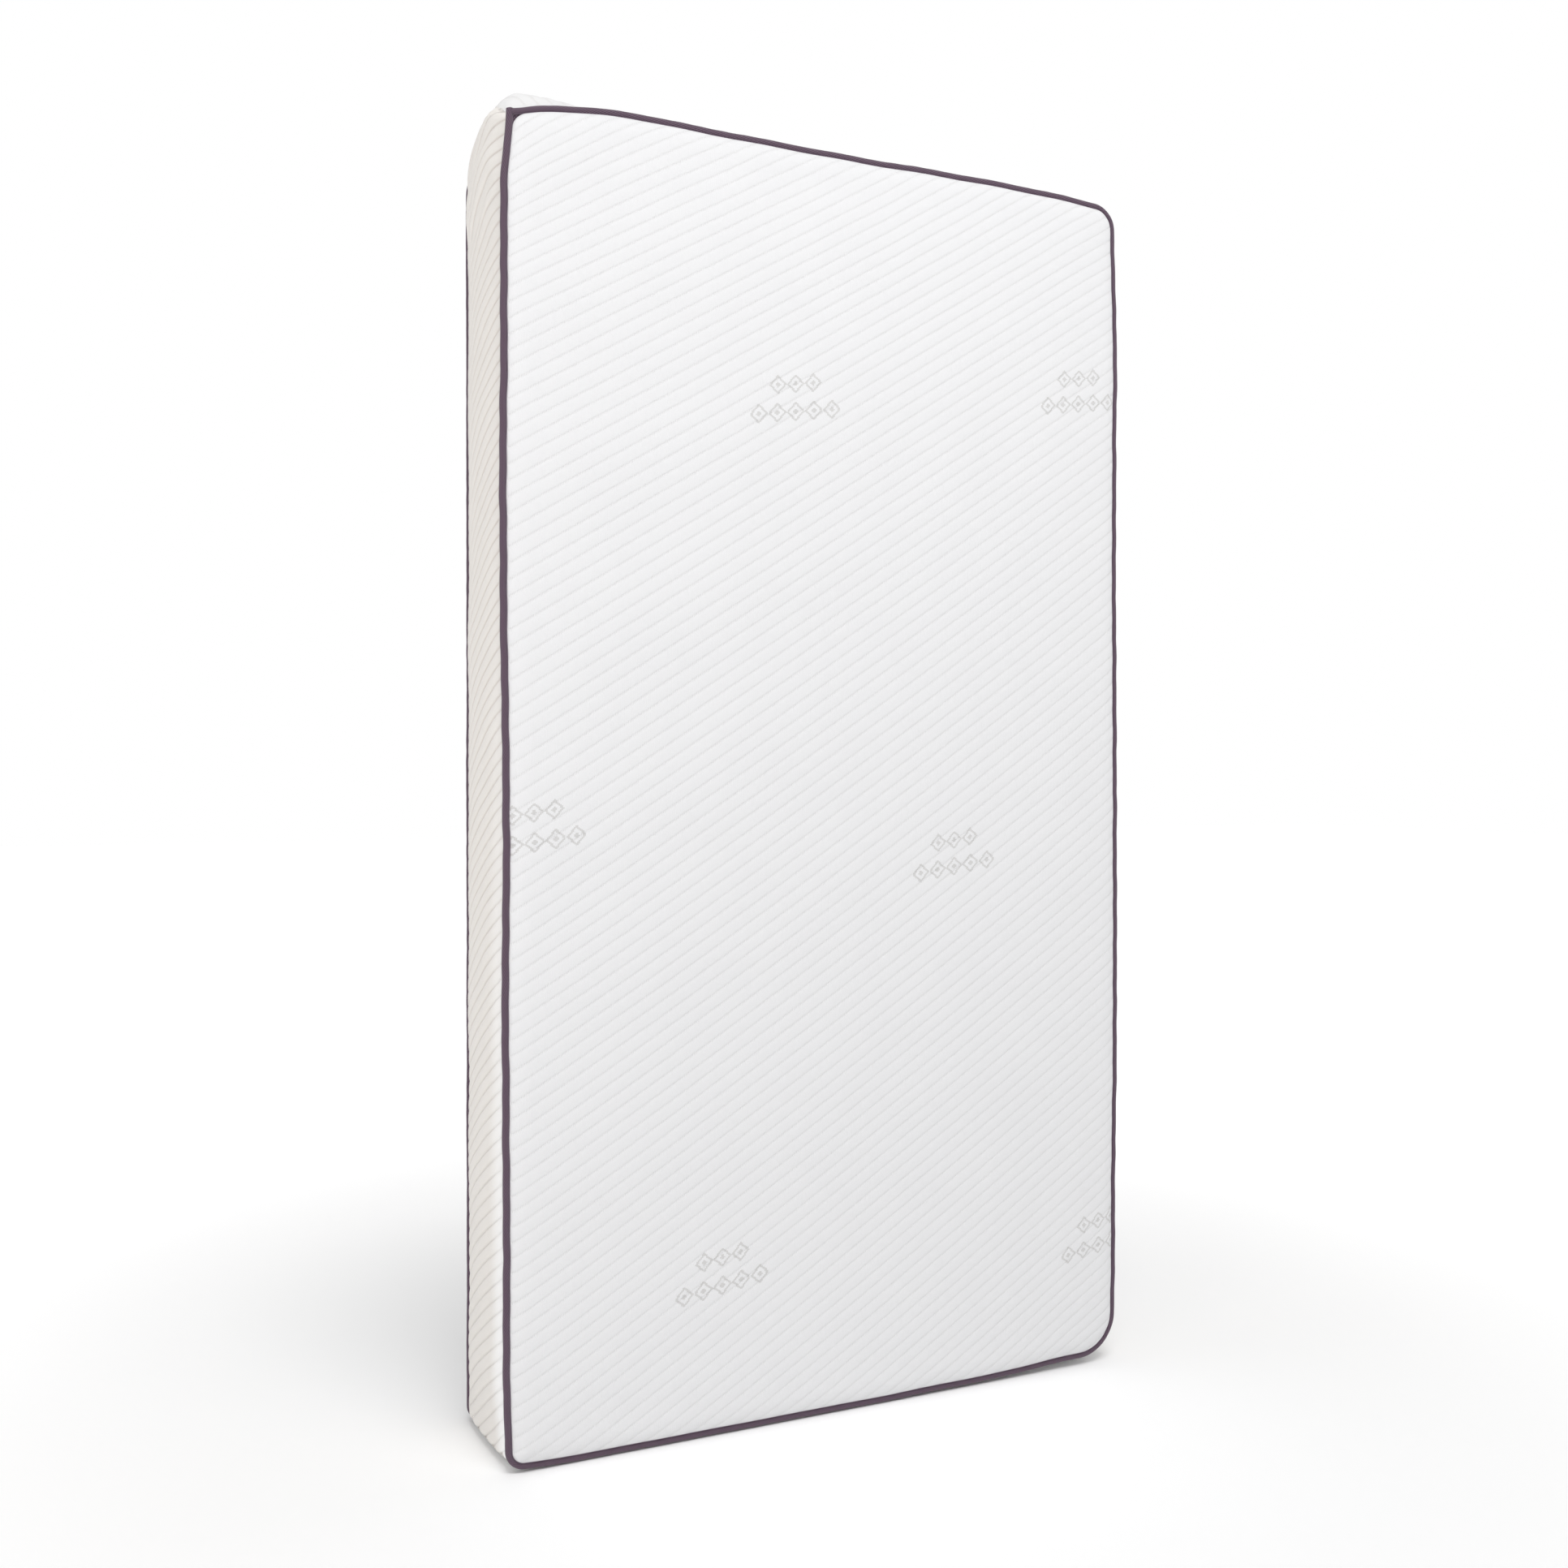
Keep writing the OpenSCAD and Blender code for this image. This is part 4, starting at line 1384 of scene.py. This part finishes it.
def zip_coil(name, side):
    """A coil of nylon wire, flattened, with a bulge at the head of each turn."""
    turns = int((COIL_HIGH.z - COIL_LOW.z - 2 * COIL_WIRE) / COIL_PITCH)
    angle = np.linspace(0, math.tau * turns, turns * 11 + 1)
    half_x = (COIL_HIGH.x - COIL_LOW.x) / 2 - COIL_WIRE
    half_y = (COIL_HIGH.y - COIL_LOW.y) / 2 - COIL_WIRE
    x = (COIL_LOW.x + COIL_HIGH.x) / 2 + half_x * np.sin(angle)
    y = (COIL_LOW.y + COIL_HIGH.y) / 2 - half_y * np.cos(angle) * (1 - 0.12 * np.sin(angle) ** 2)
    shift = 0 if side > 0 else COIL_PITCH / 2
    z = COIL_LOW.z + COIL_WIRE + COIL_PITCH * angle / math.tau + shift * 0.5
    centres = np.stack([x, y * side, np.minimum(z, COIL_HIGH.z - COIL_WIRE)], -1)
    outward = np.stack([np.sin(angle), -side * np.cos(angle), 0 * angle], -1)
    upward = np.broadcast_to(np.array([0.0, 0.0, 1.0]), outward.shape)
    head = 1 + 0.25 * bell((np.cos(angle) - 1) / 0.35)
    section = ring_section(1.0, 5)[None] * (COIL_WIRE * head / 1.25)[:, None, None]
    points, faces = swept(centres, outward, upward, section, False)
    piece = shaped(name, points, faces, 60, bends=False)
    finished(piece, name, NYLON)


def kept_metal(node, width):
    """A CAD node that stays, with its edges rounded and plated."""
    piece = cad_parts[node]
    for material_slot in piece.material_slots:
        material_slot.material = METAL
    with_settings(piece.modifiers.new("joined corners", "WELD"), merge_threshold=0.005 * MM)
    with_settings(piece.modifiers.new("rounded edges", "BEVEL"), harden_normals=True, width=width,
                  segments=3, limit_method="ANGLE", angle_limit=math.radians(40))


for sign, half in ((-1, "front"), (1, "back")):
    zip_tape("zip_tape_" + half, sign)
    zip_coil("zip_coil_" + half, sign)
kept_metal("zip_closed_stops", 0.4 * MM)
kept_metal("zip_open_stop", 0.4 * MM)
kept_metal("zip_slider", 0.25 * MM)
kept_metal("zip_pull_tab", 0.25 * MM)


# ---------------------------------------------------------------- foam and sleeve
def body_ring(y, inset, zip_x, fine=40 * MM):
    """The outline at height y, drawn in by inset and cut straight at zip_x on the zip's side."""
    s = FRONT.steps(fine)
    p, _ = around(s, np.full(len(s), y), inset)
    p[:, 0] = np.minimum(p[:, 0], zip_x)
    return spatial(p, y)


def body_rings(low, high, inset, zip_x, edge):
    """Rings of a block between two heights, its edges rounded by edge."""
    turns = [share * math.pi / 2 for share in (0.0, 0.3, 0.7, 1.0)]
    bottom = [(low + edge * (1 - math.sin(t)), edge * (1 - math.cos(t))) for t in turns]
    middle = [(y, 0.0) for y in np.linspace(low + edge, high - edge, 8)[1:-1]]
    top = [(low + high - y, d) for y, d in bottom]
    return [body_ring(y, inset + d, zip_x - d) for y, d in sorted(set(bottom + middle + top))]


def stacked(rings):
    count = len(rings[0])
    return np.concatenate(rings), grid_faces(len(rings), count, False)


def foam_layer(name, low, high, material):
    inset = HALF_W + MEMORY_LOW.x
    rings = body_rings(low.y, high.y, inset, MEMORY_HIGH.x, 1.5 * MM)
    points, faces = stacked(rings)
    piece = shaped(name, points, faces, 40)
    finished(piece, name, material)


def sleeve():
    """The knitted bag round both foams, with a hollow inside."""
    thick = 0.8 * MM
    inset = HALF_W + SLEEVE_LOW.x
    outer = stacked(body_rings(SLEEVE_LOW.y, SLEEVE_HIGH.y, inset, SLEEVE_HIGH.x, 1.6 * MM))
    inner = stacked(body_rings(SLEEVE_LOW.y + thick, SLEEVE_HIGH.y - thick, inset + thick,
                               SLEEVE_HIGH.x - thick, 1.2 * MM))
    points, faces = merged([outer, inner])
    piece = shaped("inner_sleeve", points, faces, 40, hollow_from=len(outer[1]))
    finished(piece, "inner_sleeve", SLEEVE_KNIT)


foam_layer("memory_foam_layer", MEMORY_LOW, MEMORY_HIGH, MEMORY_FOAM)
foam_layer("support_foam_core", SUPPORT_LOW, SUPPORT_HIGH, SUPPORT_FOAM)
sleeve()


# ---------------------------------------------------------------- care label
def care_label():
    """A blank label caught in the rear seam, lying on the border with its free edge lifting."""
    zs = np.linspace(LABEL_LOW.z, LABEL_HIGH.z, 25)
    ys = np.linspace(LABEL_LOW.y, BORDER_HALF, 19)
    z, y = np.meshgrid(zs, ys, indexing="ij")
    y_flat, z_flat = y.ravel(), z.ravel()
    s = AT_ZIP + math.pi / 4 * FRONT_R[1, -1] + (z_flat - FRONT_R[1, -1])
    p, n = around(s, y_flat)
    free = (BORDER_HALF - y_flat) / (BORDER_HALF - LABEL_LOW.y)
    lift = 0.5 * MM + 1.4 * MM * free ** 3 + 0.4 * MM * free * np.sin(z_flat / (9 * MM))
    top = spatial(p + n * (border_out(s, y_flat, p) + lift)[:, None], y_flat)
    low = top - spatial(n) * (LABEL_HIGH.x - LABEL_LOW.x)
    rows, columns = z.shape
    count = rows * columns
    faces = []
    for i in range(rows - 1):
        for j in range(columns - 1):
            a, b = i * columns + j, (i + 1) * columns + j
            faces.append((a, b, b + 1, a + 1))
            faces.append((a + count, a + 1 + count, b + 1 + count, b + count))
    rim = list(range(columns)) + [i * columns + columns - 1 for i in range(1, rows)]
    rim += [(rows - 1) * columns + j for j in range(columns - 2, -1, -1)]
    rim += [i * columns for i in range(rows - 2, 0, -1)]
    for a, b in zip(rim, rim[1:] + rim[:1]):
        faces.append((a, b, b + count, a + count))
    piece = shaped("care_label", np.concatenate([top, low]), faces, 40)
    edge = np.minimum(np.minimum(y_flat - ys[0], ys[-1] - y_flat + MM),
                      np.minimum(z_flat - zs[0], zs[-1] - z_flat))
    weave = np.stack([z_flat, y_flat, edge], -1)
    mark(piece, "weave", np.concatenate([weave, weave]))
    finished(piece, "care_label", LABEL_SATIN)


care_label()


# ---------------------------------------------------------------- floor, light and camera
FLOOR_GLOW = 0.2                 # keeps the far floor as white as the backdrop
FLOOR_REACH = 14.0
FLOOR_Z = -0.3 * MM
SKY = 0.53                       # strength of the white surroundings as light
SUN_FROM = Vector((-0.06, -0.34, 0.94))
CAMERA_LENS = 36.906
CAMERA_PLACE = (-0.7786, -1.5641, 0.6740)
CAMERA_TURN = (89.504, -0.066, -25.63)   # degrees


def floor():
    mesh = bpy.data.meshes.new("floor")
    signs = ((-1, -1), (1, -1), (1, 1), (-1, 1))
    corners = [(sx * FLOOR_REACH, sy * FLOOR_REACH, FLOOR_Z) for sx, sy in signs]
    mesh.from_pydata(corners, [], [(0, 1, 2, 3)])
    piece = added("floor", mesh)
    g = Graph("pale floor", roughness=0.9, specular=0.0)
    g.colour(g.blend(g.noise(g.place(), 0.6, 2.0), (0.985, 0.985, 0.985, 1), (1.0, 1.0, 1.0, 1)))
    x, y, _ = g.split(g.place())
    away = g.math("SQRT", x * x + y * y)
    g.shader.inputs["Emission Color"].default_value = (1, 1, 1, 1)
    g.put(g.shader.inputs["Emission Strength"], g.ramp(away, 0.5, 1.5) * FLOOR_GLOW)
    mesh.materials.append(g.material)


def soft_light(name, place, target, width, height, power, tint=(1.0, 1.0, 1.0), spread=180):
    light = with_settings(bpy.data.lights.new(name, "AREA"), spread=math.radians(spread), color=tint,
                          shape="RECTANGLE", size=width, size_y=height, energy=power)
    turn = (Vector(target) - Vector(place)).to_track_quat("-Z", "Y").to_euler()
    with_settings(added(name, light), location=place, rotation_euler=turn, visible_camera=False)


def surroundings():
    scene = bpy.context.scene
    world = bpy.data.worlds.new("white studio")
    world.use_nodes = True
    world.node_tree.nodes["Background"].inputs["Color"].default_value = (1, 1, 1, 1)
    tree = world.node_tree
    seen = tree.nodes.new("ShaderNodeLightPath").outputs["Is Camera Ray"]
    strength = tree.nodes.new("ShaderNodeMapRange")
    strength.inputs["To Min"].default_value = SKY
    tree.links.new(seen, strength.inputs["Value"])
    tree.links.new(strength.outputs[0], tree.nodes["Background"].inputs["Strength"])
    scene.world = world
    scene.view_settings.view_transform = "Standard"
    scene.view_settings.look = "None"
    soft_light("overhead", (0.1, -1.5, 2.1), (0.05, 0.0, 1.3), 1.6, 0.8, 4.2, spread=115)
    soft_light("side fill", (-2.6, -1.5, 0.6), (-0.3, 0.0, 0.6), 1.4, 1.4, 8.4, (1.0, 0.97, 0.94), 140)
    sun = bpy.data.lights.new("high sun", "SUN")
    sun.energy, sun.angle = 1.04, math.radians(24)
    added("high sun", sun).rotation_euler = SUN_FROM.to_track_quat("Z", "Y").to_euler()


def camera():
    lens = with_settings(bpy.data.cameras.new("camera"), sensor_width=36, lens=CAMERA_LENS,
                         clip_start=0.05, clip_end=100)
    turn = [math.radians(angle) for angle in CAMERA_TURN]
    bpy.context.scene.camera = with_settings(added("camera", lens), location=CAMERA_PLACE,
                                             rotation_euler=turn)


floor()
surroundings()
camera()
